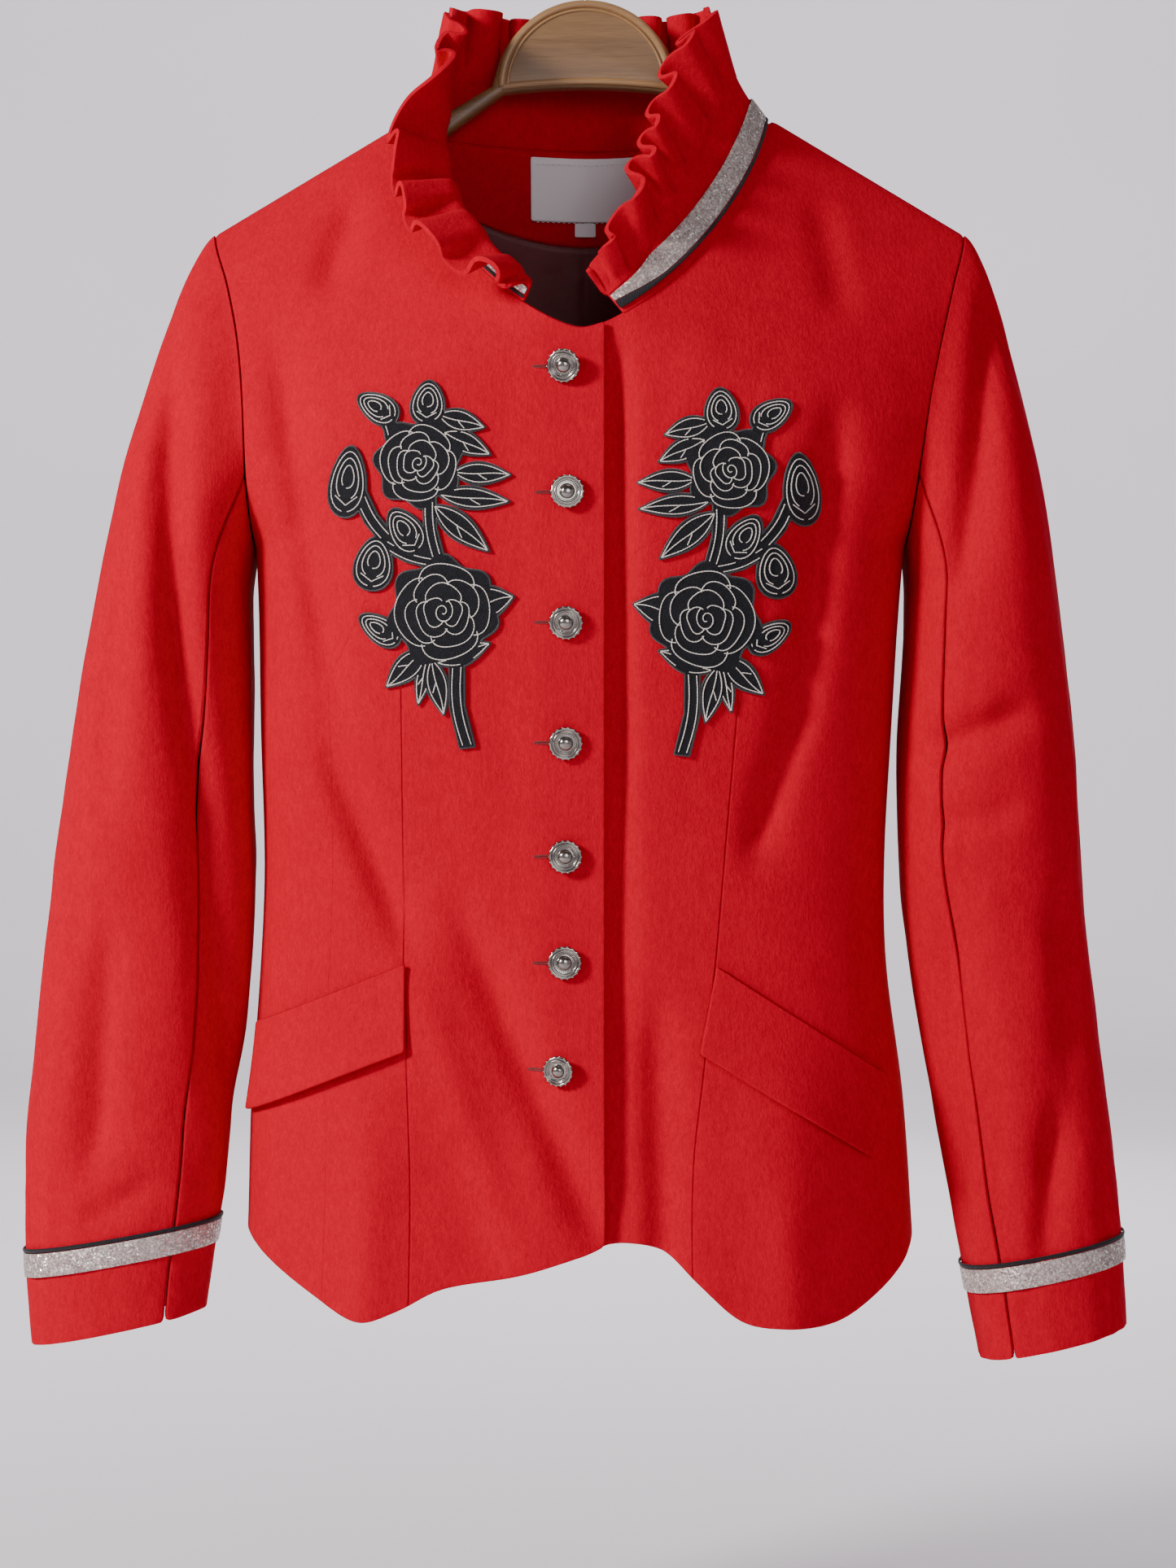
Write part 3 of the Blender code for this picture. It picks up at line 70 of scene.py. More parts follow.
# Cloth walls and the gaps that touching pieces keep
WOOL = 2.0
TRIM_WALL = 0.9
FACING_WALL = 1.0
APPLIQUE_WALL = 1.2
SEAM_GAP = 0.5
LAY_GAP = 0.6

# The two flat pieces of cloth meet over the hanger in a ridge along each shoulder
SHOULDER_SLOPE = 0.6
SHOULDER_TIP_Z = -215.0
SHOULDER_TIP_LEFT = 208.0
SHOULDER_TIP_RIGHT = 212.0
SHOULDER_ROUND = 170.0
SHOULDER_ROUND_POWER = 1.3
SECTION_POWER = 2.5

# Half widths to each side of the hook and half depths to the front and back, at each height
TorsoRow = namedtuple("TorsoRow", "z left right front back")
TORSO = table_of(
    TorsoRow,
    (-830, 191, 185, 96, 82), (-768, 189, 182, 90, 76), (-695, 187, 177, 81, 67),
    (-622, 182, 168, 71, 59), (-567, 180, 167, 68, 56), (-490, 182, 171, 76, 60),
    (-424, 183, 175, 84, 64), (-360, 186, 181, 85, 67), (-314, 188, 188, 82, 67),
    (-278, 192, 196, 79, 66), (-246, 199, 204, 76, 64), (-215, 208, 212, 74, 62),
    (-150, 208, 212, 70, 58),
)
ARMHOLE_LOW_Z = -392.0
ARMHOLE_HALF_DEPTH = 52.0
ARMHOLE_ROUND_SHARE = 0.45

# The neckline, one curve in front and a shallow one behind
NECK_MIDDLE_X = -2.0
NECK_HALF_WIDTH = 104.0
NECK_FRONT_DROP = 129.0
NECK_FRONT_POWER = 1.5
NECK_BACK_DROP = 10.0
NECK_BACK_POWER = 2.4
NECK_CORNER_Z = SHOULDER_TIP_Z + SHOULDER_SLOPE * (SHOULDER_TIP_RIGHT - NECK_HALF_WIDTH)

# The right front laps over the left one
LAP_EDGE_X = 10.0
UNDERLAP_EDGE_X = -30.0
LAP_RISE = 1.7
LAP_BLEND = 24.0
LAP_START_X = -22.0
UNDERLAP_END_X = 14.0
CREASE_FADE_REACH = 40.0

# Hem heights across the fronts and the back
Corner = namedtuple("Corner", "x z")
FRONT_HEM = table_of(
    Corner,
    (-190, -768), (-175, -780), (-147, -797), (-122, -809), (-100, -803), (-78, -792), (-40, -785),
    (0, -773), (14, -768), (40, -771), (60, -789), (82, -808), (106, -812), (132, -811), (150, -803),
    (175, -784), (185, -768),
)
BACK_HEM = table_of(
    Corner,
    (-190, -768), (-150, -782), (-95, -794), (-40, -786), (0, -783), (40, -787), (98, -796),
    (150, -782), (185, -768),
)
HEM_LEVEL_Z = -790.0

# Soft troughs (depth above 0) and ridges (below 0) in the cloth, from one end to the other in the front view
Crease = namedtuple("Crease", "x0 z0 x1 z1 width depth")
FRONT_CREASES = table_of(
    Crease,
    (-67, -612, 4, -752, 15, 3.0), (-92, -632, -40, -770, 15, -2.5), (36, -650, 40, -800, 17, 4.5),
    (-168, -300, -142, -455, 17, 3.0), (134, -335, 116, -470, 16, 3.5), (114, -480, 92, -560, 15, 3.0),
    (-140, -500, -96, -600, 14, 3.0), (-132, -200, -140, -246, 14, 2.5),
    (-119, -680, -122, -840, 26, -5.0), (110, -680, 112, -840, 28, -6.0),
    (-52, -690, -56, -830, 24, 3.5),
)
BACK_CREASES = table_of(
    Crease,
    (-86, -640, -92, -830, 28, -5.0), (96, -650, 100, -830, 28, -5.0), (4, -660, 0, -830, 30, 4.0),
    (-132, -300, -104, -470, 17, 3.0), (138, -310, 108, -480, 16, 3.0),
    (-120, -520, -40, -580, 15, 2.5), (118, -515, 52, -590, 15, 2.5),
)

# Sleeves: distances from the hook's plane to the outer and inner edge, middle depth and half depth
SleeveRow = namedtuple("SleeveRow", "z outer inner middle half_depth")
SLEEVE_TOP_Z = -420.0
SLEEVE_RIGHT_OF_WEARER = table_of(
    SleeveRow,
    (-840, 306, 214, -20, 31), (-786, 310, 207, -18, 33), (-731, 311, 199, -16, 36),
    (-695, 309, 195, -14, 38), (-658, 306, 189, -12, 41), (-585, 298, 185, -8, 44),
    (-512, 289, 186, -5, 50), (-420, 274, 187, -2, 60),
)
SLEEVE_LEFT_OF_WEARER = table_of(
    SleeveRow,
    (-850, 300, 219, -24, 33), (-786, 297, 208, -21, 35), (-731, 293, 197, -18, 37),
    (-695, 288, 191, -16, 39), (-658, 284, 185, -13, 41), (-585, 277, 176, -9, 45),
    (-512, 273, 174, -6, 51), (-420, 263, 179, -3, 60),
)

# The cuff hangs lower on one edge than on the other
CuffEdge = namedtuple("CuffEdge", "outer_z inner_z")
CUFF_RIGHT_OF_WEARER = CuffEdge(-832, -813)
CUFF_LEFT_OF_WEARER = CuffEdge(-820, -840)
CUFF_LEVEL_Z = -828.0
SLEEVE_SECTION_POWER = 0.9
SLEEVE_CAP_SHARE = 0.3
SLEEVE_HEAD_REACH = 16.0
SLEEVE_HEAD_MIDDLE_Z = -330.0
SLEEVE_SEAM_DEGREES = 125.0
SLEEVE_SEAM_PARTING = 0.6
SLEEVE_CREASES_RIGHT_OF_WEARER = table_of(
    Crease,
    (-236, -250, -214, -545, 15, 6.0), (-212, -550, -199, -690, 12, 5.0),
    (-262, -620, -268, -725, 15, 3.0),
)
SLEEVE_CREASES_LEFT_OF_WEARER = table_of(
    Crease,
    (230, -255, 210, -400, 15, 5.0), (196, -500, 250, -482, 13, 3.0), (266, -650, 258, -735, 14, 4.0),
    (206, -600, 217, -720, 12, 3.0),
)

# Cuff trim: heights above the lower edge of the sleeve
CUFF_DEPTH = 50.0
CUFF_RIBBON_WIDTH = 13.0
CUFF_BRAID_WIDTH = 2.4
CUFF_TRIM_OPEN_DEGREES = 1.2
TRIM_PARTING = 0.4

# The collar: place is the share of the way round the neckline from the left end to the right end. Stand and
# ruffle are widths, start and finish are the angles at which cloth leaves the neckline and ends.
CollarRow = namedtuple("CollarRow", "place stand ruffle start finish wave")
COLLAR = table_of(
    CollarRow,
    (0.00, 10, 16, 62, 150, 3.0), (0.05, 12, 33, 66, 166, 5.0), (0.11, 15, 38, 66, 172, 6.0),
    (0.17, 21, 40, 54, 160, 6.0), (0.22, 29, 38, 46, 112, 6.0), (0.27, 33, 38, 46, 76, 6.0),
    (0.32, 33, 38, 52, 62, 5.4), (0.50, 33, 38, 66, 76, 4.2), (0.68, 33, 38, 52, 60, 5.4),
    (0.76, 33, 38, 36, 54, 6.0), (0.84, 30, 35, 28, 64, 6.0), (0.90, 24, 32, 25, 70, 5.6),
    (0.955, 16, 27, 22, 68, 4.6), (1.00, 13, 14, 18, 40, 2.2),
)
COLLAR_LEFT_END_X = -31.0
COLLAR_RIGHT_END_X = 17.0
COLLAR_CENTRE = Vector((-2.0, 5.0, -150.0))
COLLAR_SEAT_LIFT = 1.2
NECKLINE_SMOOTHING = (-0.016, -0.008, 0.0, 0.008, 0.016)
COLLAR_TURN_SPAN = 0.05
COLLAR_RIBBON_GAP = 0.9
COLLAR_RIBBON_WIDTH = 13.0
COLLAR_RIBBON_HEADROOM = 2.5
COLLAR_TRIM_FOOT = 1.0
COLLAR_BRAID_WIDTH = 1.8
COLLAR_BRAID_END_WIDTH = 5.0
RUFFLE_WAVES = 21
CURL_SHARE = 0.24

# Pocket flaps: corners in the front view
FLAP_RIGHT_OF_WEARER = table_of(Corner, (-97, -620), (-180, -654), (-184, -703), (-96, -667))
FLAP_LEFT_OF_WEARER = table_of(Corner, (70, -621), (163, -682), (152, -725), (61, -668))
FLAP_TIP_LIFT = 2.0
FLAP_GAP = 1.1

# Flower sprays, drawn in a flat frame: x runs toward the front opening, z up, turn is from straight up
SprayPiece = namedtuple("SprayPiece", "kind x z length width turn")
SPRAY = table_of(
    SprayPiece,
    ("rose", 12, -24, 56, 56, 0), ("rose", -1, 55, 45, 45, 20), ("bud", 4, 87, 24, 18, 4),
    ("bud", -23, 85, 25, 15, -58), ("bud", -39, 46, 38, 20, 6), ("bud", -8, 19, 28, 18, -34),
    ("bud", -25, 2, 29, 21, 8), ("bud", -22, -33, 26, 14, -56), ("leaf", 22, 77, 26, 12, 106),
    ("leaf", 25, 65, 28, 12, 116), ("leaf", 33, 49, 31, 12, 93), ("leaf", 29, 36, 38, 12, 96),
    ("leaf", 22, 20, 39, 14, 130), ("leaf", 37, -19, 27, 18, 78), ("leaf", 23, -46, 31, 13, 70),
    ("leaf", -8, -54, 30, 14, -132), ("leaf", 9, -64, 31, 12, 168), ("leaf", 1, -61, 26, 8, -168),
    ("stem", -17, 73, 26, 8, -16), ("stem", -25, 27, 30, 8, 148), ("stem", -6, 7, 28, 6, 112),
    ("stem", 8, 20, 44, 7, 172), ("stem", 22, -74, 45, 8, 173),
)
SPRAY_LEFT_ORIGIN = Corner(-88, -407)
SPRAY_RIGHT_ORIGIN = Corner(76, -411)
ROSE_LOBES = 7
ROSE_LOBE_DEPTH = 0.09
ROSE_POINTS = 70
BUD_POINTS = 28
LEAF_POINTS = 14

# Buttons down the front: height, lean sideways and lean downward in degrees
ButtonRow = namedtuple("ButtonRow", "x z size lean nod")
BUTTONS = table_of(
    ButtonRow,
    (-11.5, -300.5, 18.5, -14, 16), (-10.0, -368.0, 18.5, 3, -4), (-10.5, -437.0, 18.5, -3, 3),
    (-11.0, -501.0, 18.5, 4, 2), (-11.0, -562.0, 18.5, -2, -3), (-11.5, -619.0, 18.5, 2, 4),
    (-14.0, -676.0, 17.0, -12, 10),
)

# Half section of a button as (share of the radius, height): back, rim, groove, step, dished ring and dome
BUTTON_SECTION = (
    (0.0, 0.0), (0.3, 0.0), (0.62, 0.1), (0.86, 0.9), (0.95, 1.5), (0.985, 2.1), (0.97, 2.7), (0.91, 3.1),
    (0.85, 3.2), (0.81, 2.9), (0.785, 2.5), (0.755, 2.55), (0.735, 3.0), (0.69, 3.15), (0.65, 2.9),
    (0.625, 2.5), (0.6, 2.45), (0.5, 2.5), (0.44, 2.35), (0.41, 2.6), (0.39, 3.3), (0.34, 4.0),
    (0.25, 4.55), (0.13, 4.9), (0.0, 5.0),
)
BUTTON_SEAT_GAP = 0.7
BUTTON_TILT_SHARE = 0.55

# What shows inside the neck
FACING_HALF_WIDTH = 88.0
FACING_LOW_Z = -213.0
FACING_SIDE_RISE = 24.0
FACING_DEPTH = 3.1
LINING_DEPTH = 4.4
LINING_LOW_Z = -330.0
LINING_HALF_WIDTH = 112.0
PLEAT_WIDTH = 9.0
PLEAT_RISE = 2.4
LABEL_GAP = 1.1
LABEL_WALL = 0.6
LABEL_LEFT_X = -31.5
LABEL_RIGHT_X = 30.0
LABEL_TOP_Z = -165.5
LABEL_HEIGHT = 34.0
TAB_LEFT_X = -6.5
TAB_WIDTH = 12.0
TAB_HEIGHT = 7.5

# The hanger
HANGER_THICKNESS = 11.0
ARM_DROP = 10.0
ARM_HEIGHT = 23.0
ARM_END_X = 189.0
PLATE_HALF_WIDTH = 52.0
PLATE_FOOT_Z = -136.0
PLATE_RISE = 51.5
RIM_WIDTH = 6.5
RIM_INSET = 2.6
RIM_FOOT_RISE = 3.0
HOOK_START_DEGREES = 215.0
HOOK_BEND_STEPS = 8
HOOK_WIRE = 1.7
HOOK_RADIUS = 28.0
HOOK_STEM_TOP_Z = -64.0
HOOK_ARC_STEPS = 11
HOOK_END_DEGREES = -32.0

# Finer values for what the cloth and its trim show up close
SHEET_CROWDING = 1.15
FAR_FROM_SEAM = 50.0
HEM_TURN = 38.0
MIDDLE_SMOOTHING = (-12.0, -6.0, 0.0, 6.0, 12.0)
FRONT_FACING_WIDTH = 62.0
SLEEVE_GIRTH = 220.0
SLEEVE_RUN = 560.0
RIM_HEIGHT = 1.2
PLATE_ARC_STEPS = 48
PLATE_FOOT_ARCH = 3.0
SEAM_HALF_WIDTH = 0.9
SEAM_DIP = 0.0005
STAND_SEAT = -1.6
RUFFLE_TUCK = 1.2
RUFFLE_HEM_WALL = 2.6
RUFFLE_SWELL = 1.2
RUFFLE_SWAY = 2.8
SPRAY_GRID = 4.0
SPRAY_REACH = 104.0
BUTTON_TURN_STEPS = 72
BUTTON_SCALLOPS = 18
BUTTON_PEARLS = 30
BUTTONHOLE_LENGTH = 19.0
DART_LEFT = table_of(Corner, (-94, -810), (-93.5, -740), (-96, -674), (-98, -620), (-99, -470))
DART_RIGHT = table_of(Corner, (57, -810), (57.5, -730), (64, -672), (71, -610), (82, -478))

# Narrow folds that the cloth shows up close. The first table lies on both fronts, the next beside the lap
FRONT_FOLDS = table_of(
    Crease,
    (-62, -606, 6, -765, 9, 6.5), (-86, -640, -34, -778, 9, -1.6), (38, -655, 42, -790, 9, 5.6),
    (-166, -296, -138, -470, 9, 6.8), (134, -335, 116, -478, 9, 6.8), (116, -478, 92, -556, 8, 6.2),
    (-141, -500, -98, -606, 8, 6.2), (-128, -204, -142, -250, 9, 5.3), (128, -206, 140, -262, 10, 3.7),
    (-116, -722, -119, -840, 12, -2.4), (108, -742, 110, -840, 12, -2.4),
)
LAP_FOLDS = table_of(
    Crease,
    (17, -300, 18, -520, 7, 7.1), (18, -520, 20, -820, 8, 5.3),
)
BACK_FOLDS = table_of(
    Crease,
    (-132, -300, -106, -470, 9, 6.2), (138, -310, 110, -480, 9, 6.2), (-116, -520, -44, -580, 8, 4.7),
    (114, -515, 54, -590, 8, 4.7), (-30, -600, -44, -800, 12, 4.0), (34, -620, 48, -810, 12, 4.0),
)
SLEEVE_FOLDS_RIGHT_OF_WEARER = table_of(
    Crease,
    (-228, -300, -222, -440, 8, 7.8), (-222, -440, -204, -560, 8, 7.8),
    (-204, -560, -191, -690, 8, 6.8), (-262, -610, -270, -730, 9, 5.3),
    (-254, -380, -262, -520, 12, 4.0), (-236, -742, -276, -762, 7, 3.7),
)
SLEEVE_FOLDS_LEFT_OF_WEARER = table_of(
    Crease,
    (222, -262, 214, -335, 8, 7.1), (214, -335, 202, -410, 8, 7.1), (188, -505, 236, -485, 7, 6.5),
    (192, -545, 232, -538, 7, 4.3), (194, -595, 200, -765, 9, 7.1), (256, -706, 249, -778, 8, 6.2),
    (258, -590, 266, -660, 10, 4.3),
)

# Petal lines of a rose: share of its radius, from and to in degrees clockwise from the top, and their bow
RoseArc = namedtuple("RoseArc", "radius start finish bulge")
ROSE_ARCS = table_of(
    RoseArc,
    (0.86, -38, 52, 0.05), (0.84, 46, 128, 0.07), (0.86, 120, 214, 0.05), (0.85, 208, 330, 0.06),
    (0.66, 8, 104, 0.06), (0.64, 96, 206, 0.06), (0.67, 196, 296, 0.05), (0.65, 290, 372, 0.07),
    (0.48, -60, 62, 0.05), (0.46, 58, 172, 0.06), (0.47, 166, 304, 0.05), (0.32, 20, 168, 0.04),
    (0.31, 176, 358, 0.05),
)

# The flat pieces as they were cut, in metres and square metres, with the solid that each stands for
Cut = namedtuple("Cut", "node slot width length area held rests_on")
CUTS = {
    "right_front": Cut("front_right", "wool", 0.26, 0.66, 0.14, "hung", "hanger_body"),
    "left_front": Cut("front_left", "wool", 0.28, 0.66, 0.15, "hung", "hanger_body"),
    "back_panel": Cut("back", "wool", 0.5, 0.66, 0.27, "hung", "hanger_body"),
    "stand_collar": Cut("collar_stand", "wool", 0.5, 0.03, None, "hung", "back_panel"),
    "ruffle": Cut("collar_ruffle", "wool", 0.9, 0.036, None, "gathered", "back_panel"),
    "neck_ribbon": Cut("collar_ribbon", "silver_ribbon", 0.5, 0.013, None, "stretched", "back_panel"),
    "neck_braid": Cut("collar_braid", "black_braid", 0.5, 0.01, 0.0015, "stretched", "back_panel"),
    "right_flap": Cut("pocket_flap_right", "wool", 0.095, 0.05, None, "hung", "right_front"),
    "left_flap": Cut("pocket_flap_left", "wool", 0.11, 0.05, None, "hung", "left_front"),
    "neck_facing": Cut("back_facing", "wool", 0.19, 0.06, None, "hung", "back_panel"),
    "satin_lining": Cut("back_lining", "lining", 0.25, 0.13, None, "hung", "back_panel"),
    "bare_label": Cut("label", "label_cloth", 0.062, 0.034, None, "laid", "back_panel"),
    "bare_tab": Cut("size_tab", "label_cloth", 0.012, 0.01, 0.0001, "laid", "back_panel"),
}
for side, cuff_girth in (("right", 0.22), ("left", 0.21)):
    top = side + "_top_sleeve"
    CUTS[top] = Cut("top_sleeve_" + side, "wool", 0.24, 0.64, 0.12, "hung", "hanger_body")
    under = side + "_under_sleeve"
    CUTS[under] = Cut("under_sleeve_" + side, "wool", 0.11, 0.56, 0.04, "hung", "hanger_body")
    CUTS[side + "_cuff_ribbon"] = Cut(
        "cuff_ribbon_" + side, "silver_ribbon", cuff_girth, 0.013, None, "stretched", top,
    )
    CUTS[side + "_cuff_braid"] = Cut(
        "cuff_braid_" + side, "black_braid", cuff_girth, 0.01, 0.0008, "stretched", top,
    )

# Where the camera stands and how much it takes in at the hanger, in metres
CAMERA_X = 0.0011
CAMERA_Z = -0.523
FRAME_HEIGHT = 0.8806
STAGE_REACH = 4.6
FLOOR_Z = -1.05
MATERIALS = {}


def blend(low, high, share):
    """Return the value a share of the way from one number or vector to another."""
    return low + (high - low) * share


def bow_between(start, near, far, end, t):
    """A point a share of the way along the bow that leaves start toward near and reaches end from far."""
    return start * (1 - t) ** 3 + near * 3 * t * (1 - t) ** 2 + far * 3 * t * t * (1 - t) + end * t ** 3


def shares(count):
    """Even shares from 0 to 1, both ends included."""
    return [k / count for k in range(count + 1)]


def soft_step(value):
    """Rise smoothly from 0 to 1 while the value goes from 0 to 1."""
    held = min(max(value, 0.0), 1.0)
    return held * held * (3.0 - 2.0 * held)


def read_curve(points, where):
    """Read a height on the smooth curve through (place, value) points in rising order."""
    if where <= points[0][0]:
        return points[0][1]
    if where >= points[-1][0]:
        return points[-1][1]
    last = len(points) - 1
    index = 0
    while points[index + 1][0] < where:
        index += 1
    x0, y0 = points[index]
    x1, y1 = points[index + 1]
    before = points[max(index - 1, 0)]
    after = points[min(index + 2, last)]
    slope0 = (y1 - before[1]) / (x1 - before[0])
    slope1 = (after[1] - y0) / (after[0] - x0)
    span = x1 - x0
    t = (where - x0) / span
    return (
        y0 * (1 + 2 * t) * (1 - t) ** 2
        + slope0 * span * t * (1 - t) ** 2
        + y1 * t * t * (3 - 2 * t)
        + slope1 * span * t * t * (t - 1)
    )


@lru_cache(maxsize=None)
def column_curve(table, key, column):
    """One named column of a table as (place, value) points."""
    return [(getattr(row, key), getattr(row, column)) for row in table]


def read_column(table, key, column, where):
    """Read one named column of a table at a place, along its smooth curve."""
    return read_curve(column_curve(table, key, column), where)


def crease_depth(creases, x, z):
    """Add up how far the soft troughs and ridges push the cloth in at a place in the front view."""
    total = 0.0
    for crease in creases:
        along = Vector((crease.x1 - crease.x0, crease.z1 - crease.z0))
        offset = Vector((x - crease.x0, z - crease.z0))
        share = offset.dot(along) / along.length_squared
        across = abs(offset.x * along.y - offset.y * along.x) / along.length
        fade = soft_step((share + 0.25) / 0.45) * soft_step((1.25 - share) / 0.45)
        total += crease.depth * fade * exp(-((across / crease.width) ** 2))
    return total


def shoulder_z(x):
    """Height of the shoulder line above or below a place across."""
    tip = SHOULDER_TIP_LEFT if x < 0 else SHOULDER_TIP_RIGHT
    return SHOULDER_TIP_Z + SHOULDER_SLOPE * (tip - abs(x))


def neck_z(x, front):
    """Height of the neckline at a place across."""
    share = min(abs(x - NECK_MIDDLE_X) / NECK_HALF_WIDTH, 1.0)
    drop = NECK_FRONT_DROP if front else NECK_BACK_DROP
    power = NECK_FRONT_POWER if front else NECK_BACK_POWER
    return NECK_CORNER_Z - drop * (1.0 - share ** power) ** (1.0 / power)


def top_z(x, front):
    """Height of the upper edge of a front or the back: the neckline, then the shoulder line."""
    if abs(x - NECK_MIDDLE_X) < NECK_HALF_WIDTH:
        return neck_z(x, front)
    return shoulder_z(x)


def edge_x(z, x_sign):
    """Distance of the side seam or armhole edge from the hook's plane."""
    return read_column(TORSO, "z", "left" if x_sign < 0 else "right", z)


def armhole_half_depth(z):
    """Half of the armhole's opening at a height, before the shoulder narrows it."""
    share = (z - ARMHOLE_LOW_Z) / (SHOULDER_TIP_Z - ARMHOLE_LOW_Z)
    rise = min(max(share / ARMHOLE_ROUND_SHARE, 0.0), 1.0)
    return ARMHOLE_HALF_DEPTH * sqrt(1.0 - (1.0 - rise) ** 2)


def section_half_width(z, x_sign, depth):
    """Half width of the whole curve whose part up to the armhole edge is the panel's section."""
    cut = min(armhole_half_depth(z) / depth, 0.95)
    return edge_x(z, x_sign) / (1.0 - cut ** SECTION_POWER) ** (1.0 / SECTION_POWER)


def section_depth(z, front):
    """Half depth of the torso at a height."""
    return read_column(TORSO, "z", "front" if front else "back", z)


def shoulder_fall(x, z):
    """Share of the full depth that the cloth has reached below the shoulder line."""
    below = min(max((shoulder_z(x) - z) / SHOULDER_ROUND, 0.0), 1.0)
    return (1.0 - (1.0 - below) ** SHOULDER_ROUND_POWER) ** (1.0 / SHOULDER_ROUND_POWER)


def torso_y(x, z, front):
    """Depth of the outer face of a front or the back at a place in the front view."""
    depth = section_depth(z, front)
    width = section_half_width(z, -1 if x < 0 else 1, depth)
    share = min(abs(x) / width, 1.0)
    round_off = (1.0 - share ** SECTION_POWER) ** (1.0 / SECTION_POWER)
    fall = shoulder_fall(x, z)
    reach = depth * round_off * fall
    steady = soft_step(reach / CREASE_FADE_REACH)
    reach -= steady * crease_depth(FRONT_CREASES if front else BACK_CREASES, x, z)
    return -(SEAM_GAP / 2 + reach) if front else SEAM_GAP / 2 + reach


def section_angle(x, width):
    """Angle round the section curve at which it stands a distance to one side."""
    share = min(abs(x) / width, 1.0) ** (SECTION_POWER / 2.0)
    return copysign(asin(share), x)


def section_x(angle, width):
    """Place across at an angle round the section curve."""
    return copysign(width * abs(sin(angle)) ** (2.0 / SECTION_POWER), angle)


def column_x(column, inner_x, outer_sign, z, front):
    """Place across of a panel's column, named by its place at the neck's height, at another height."""
    depth = section_depth(z, front)
    side = copysign(1.0, column) if column else 1.0
    width = section_half_width(z, side, depth)
    ref_depth = section_depth(NECK_CORNER_Z, front)
    ref_width = section_half_width(NECK_CORNER_Z, side, ref_depth)
    if inner_x is not None and side != outer_sign:
        return column
    ref_edge = section_angle(edge_x(NECK_CORNER_Z, side), ref_width)
    edge = section_angle(edge_x(z, side), width)
    share = section_angle(abs(column), ref_width) / ref_edge
    return side * abs(section_x(edge * min(share, 1.0), width))


def column_top(column, inner_x, outer_sign, front):
    """Height at which a panel's column meets the panel's upper edge."""
    low, high = -340.0, -60.0
    for _ in range(40):
        middle = (low + high) / 2
        if middle < top_z(column_x(column, inner_x, outer_sign, middle, front), front):
            low = middle
        else:
            high = middle
    return (low + high) / 2


def lap_shift(x, over):
    """How far the lapping front stands out, or the front under it stands in, at a place across."""
    if over:
        return -LAP_RISE * soft_step((x - LAP_START_X + LAP_BLEND) / LAP_BLEND)
    return LAP_RISE * soft_step((UNDERLAP_END_X + LAP_BLEND / 2 - x) / (LAP_BLEND / 2))


def front_point(x, z):
    """A point of the outer face of the closed front."""
    over = x <= LAP_EDGE_X
    return Vector((x, torso_y(x, z, True) + lap_shift(x, over), z))


def front_normal(x, z):
    """Outward normal of the closed front at a place in the front view."""
    step = 1.0
    across = front_point(x + step, z) - front_point(x - step, z)
    along = front_point(x, z + step) - front_point(x, z - step)
    return across.cross(along).normalized()


def sleeve_edges(table, z):
    """Distances of a sleeve's outer and inner edge from the hook's plane at a height."""
    return read_column(table, "z", "outer", z), read_column(table, "z", "inner", z)


def sleeve_ring(table, side, angle, z):
    """A point of the round part of a sleeve. Angle 0 is the outer edge and 90 degrees the front."""
    outer, inner = sleeve_edges(table, z)
    middle = read_column(table, "z", "middle", z)
    half_depth = read_column(table, "z", "half_depth", z)
    across = copysign(abs(cos(angle)) ** SLEEVE_SECTION_POWER, cos(angle))
    deep = copysign(abs(sin(angle)) ** SLEEVE_SECTION_POWER, sin(angle))
    x = side * ((outer + inner) / 2 + (outer - inner) / 2 * across)
    return Vector((x, middle - half_depth * deep, z))


def armhole_point(side, angle):
    """A point of the armhole seam, at the sleeve's angle."""
    turn = (1.0 - cos(angle)) / 2
    z = blend(SHOULDER_TIP_Z, ARMHOLE_LOW_Z, turn)
    front = sin(angle) >= 0
    x = side * edge_x(z, side)
    y = torso_y(x, z, front)
    if turn > 0.999:
        y = 0.0
    return Vector((x + side * SEAM_GAP, y, z))


def cuff_z(cuff, table, side, x):
    """Height of the sleeve's lower edge at a place across."""
    outer, inner = sleeve_edges(table, CUFF_LEVEL_Z)
    share = (abs(x) - inner) / (outer - inner)
    return blend(cuff.inner_z, cuff.outer_z, min(max(share, -0.1), 1.1))


def sleeve_middle(sleeve, z):
    """Middle of a sleeve at a height."""
    side, table = sleeve[:2]
    low = min(z, SLEEVE_TOP_Z)
    outer, inner = sleeve_edges(table, low)
    return Vector((side * (outer + inner) / 2, read_column(table, "z", "middle", low), z))


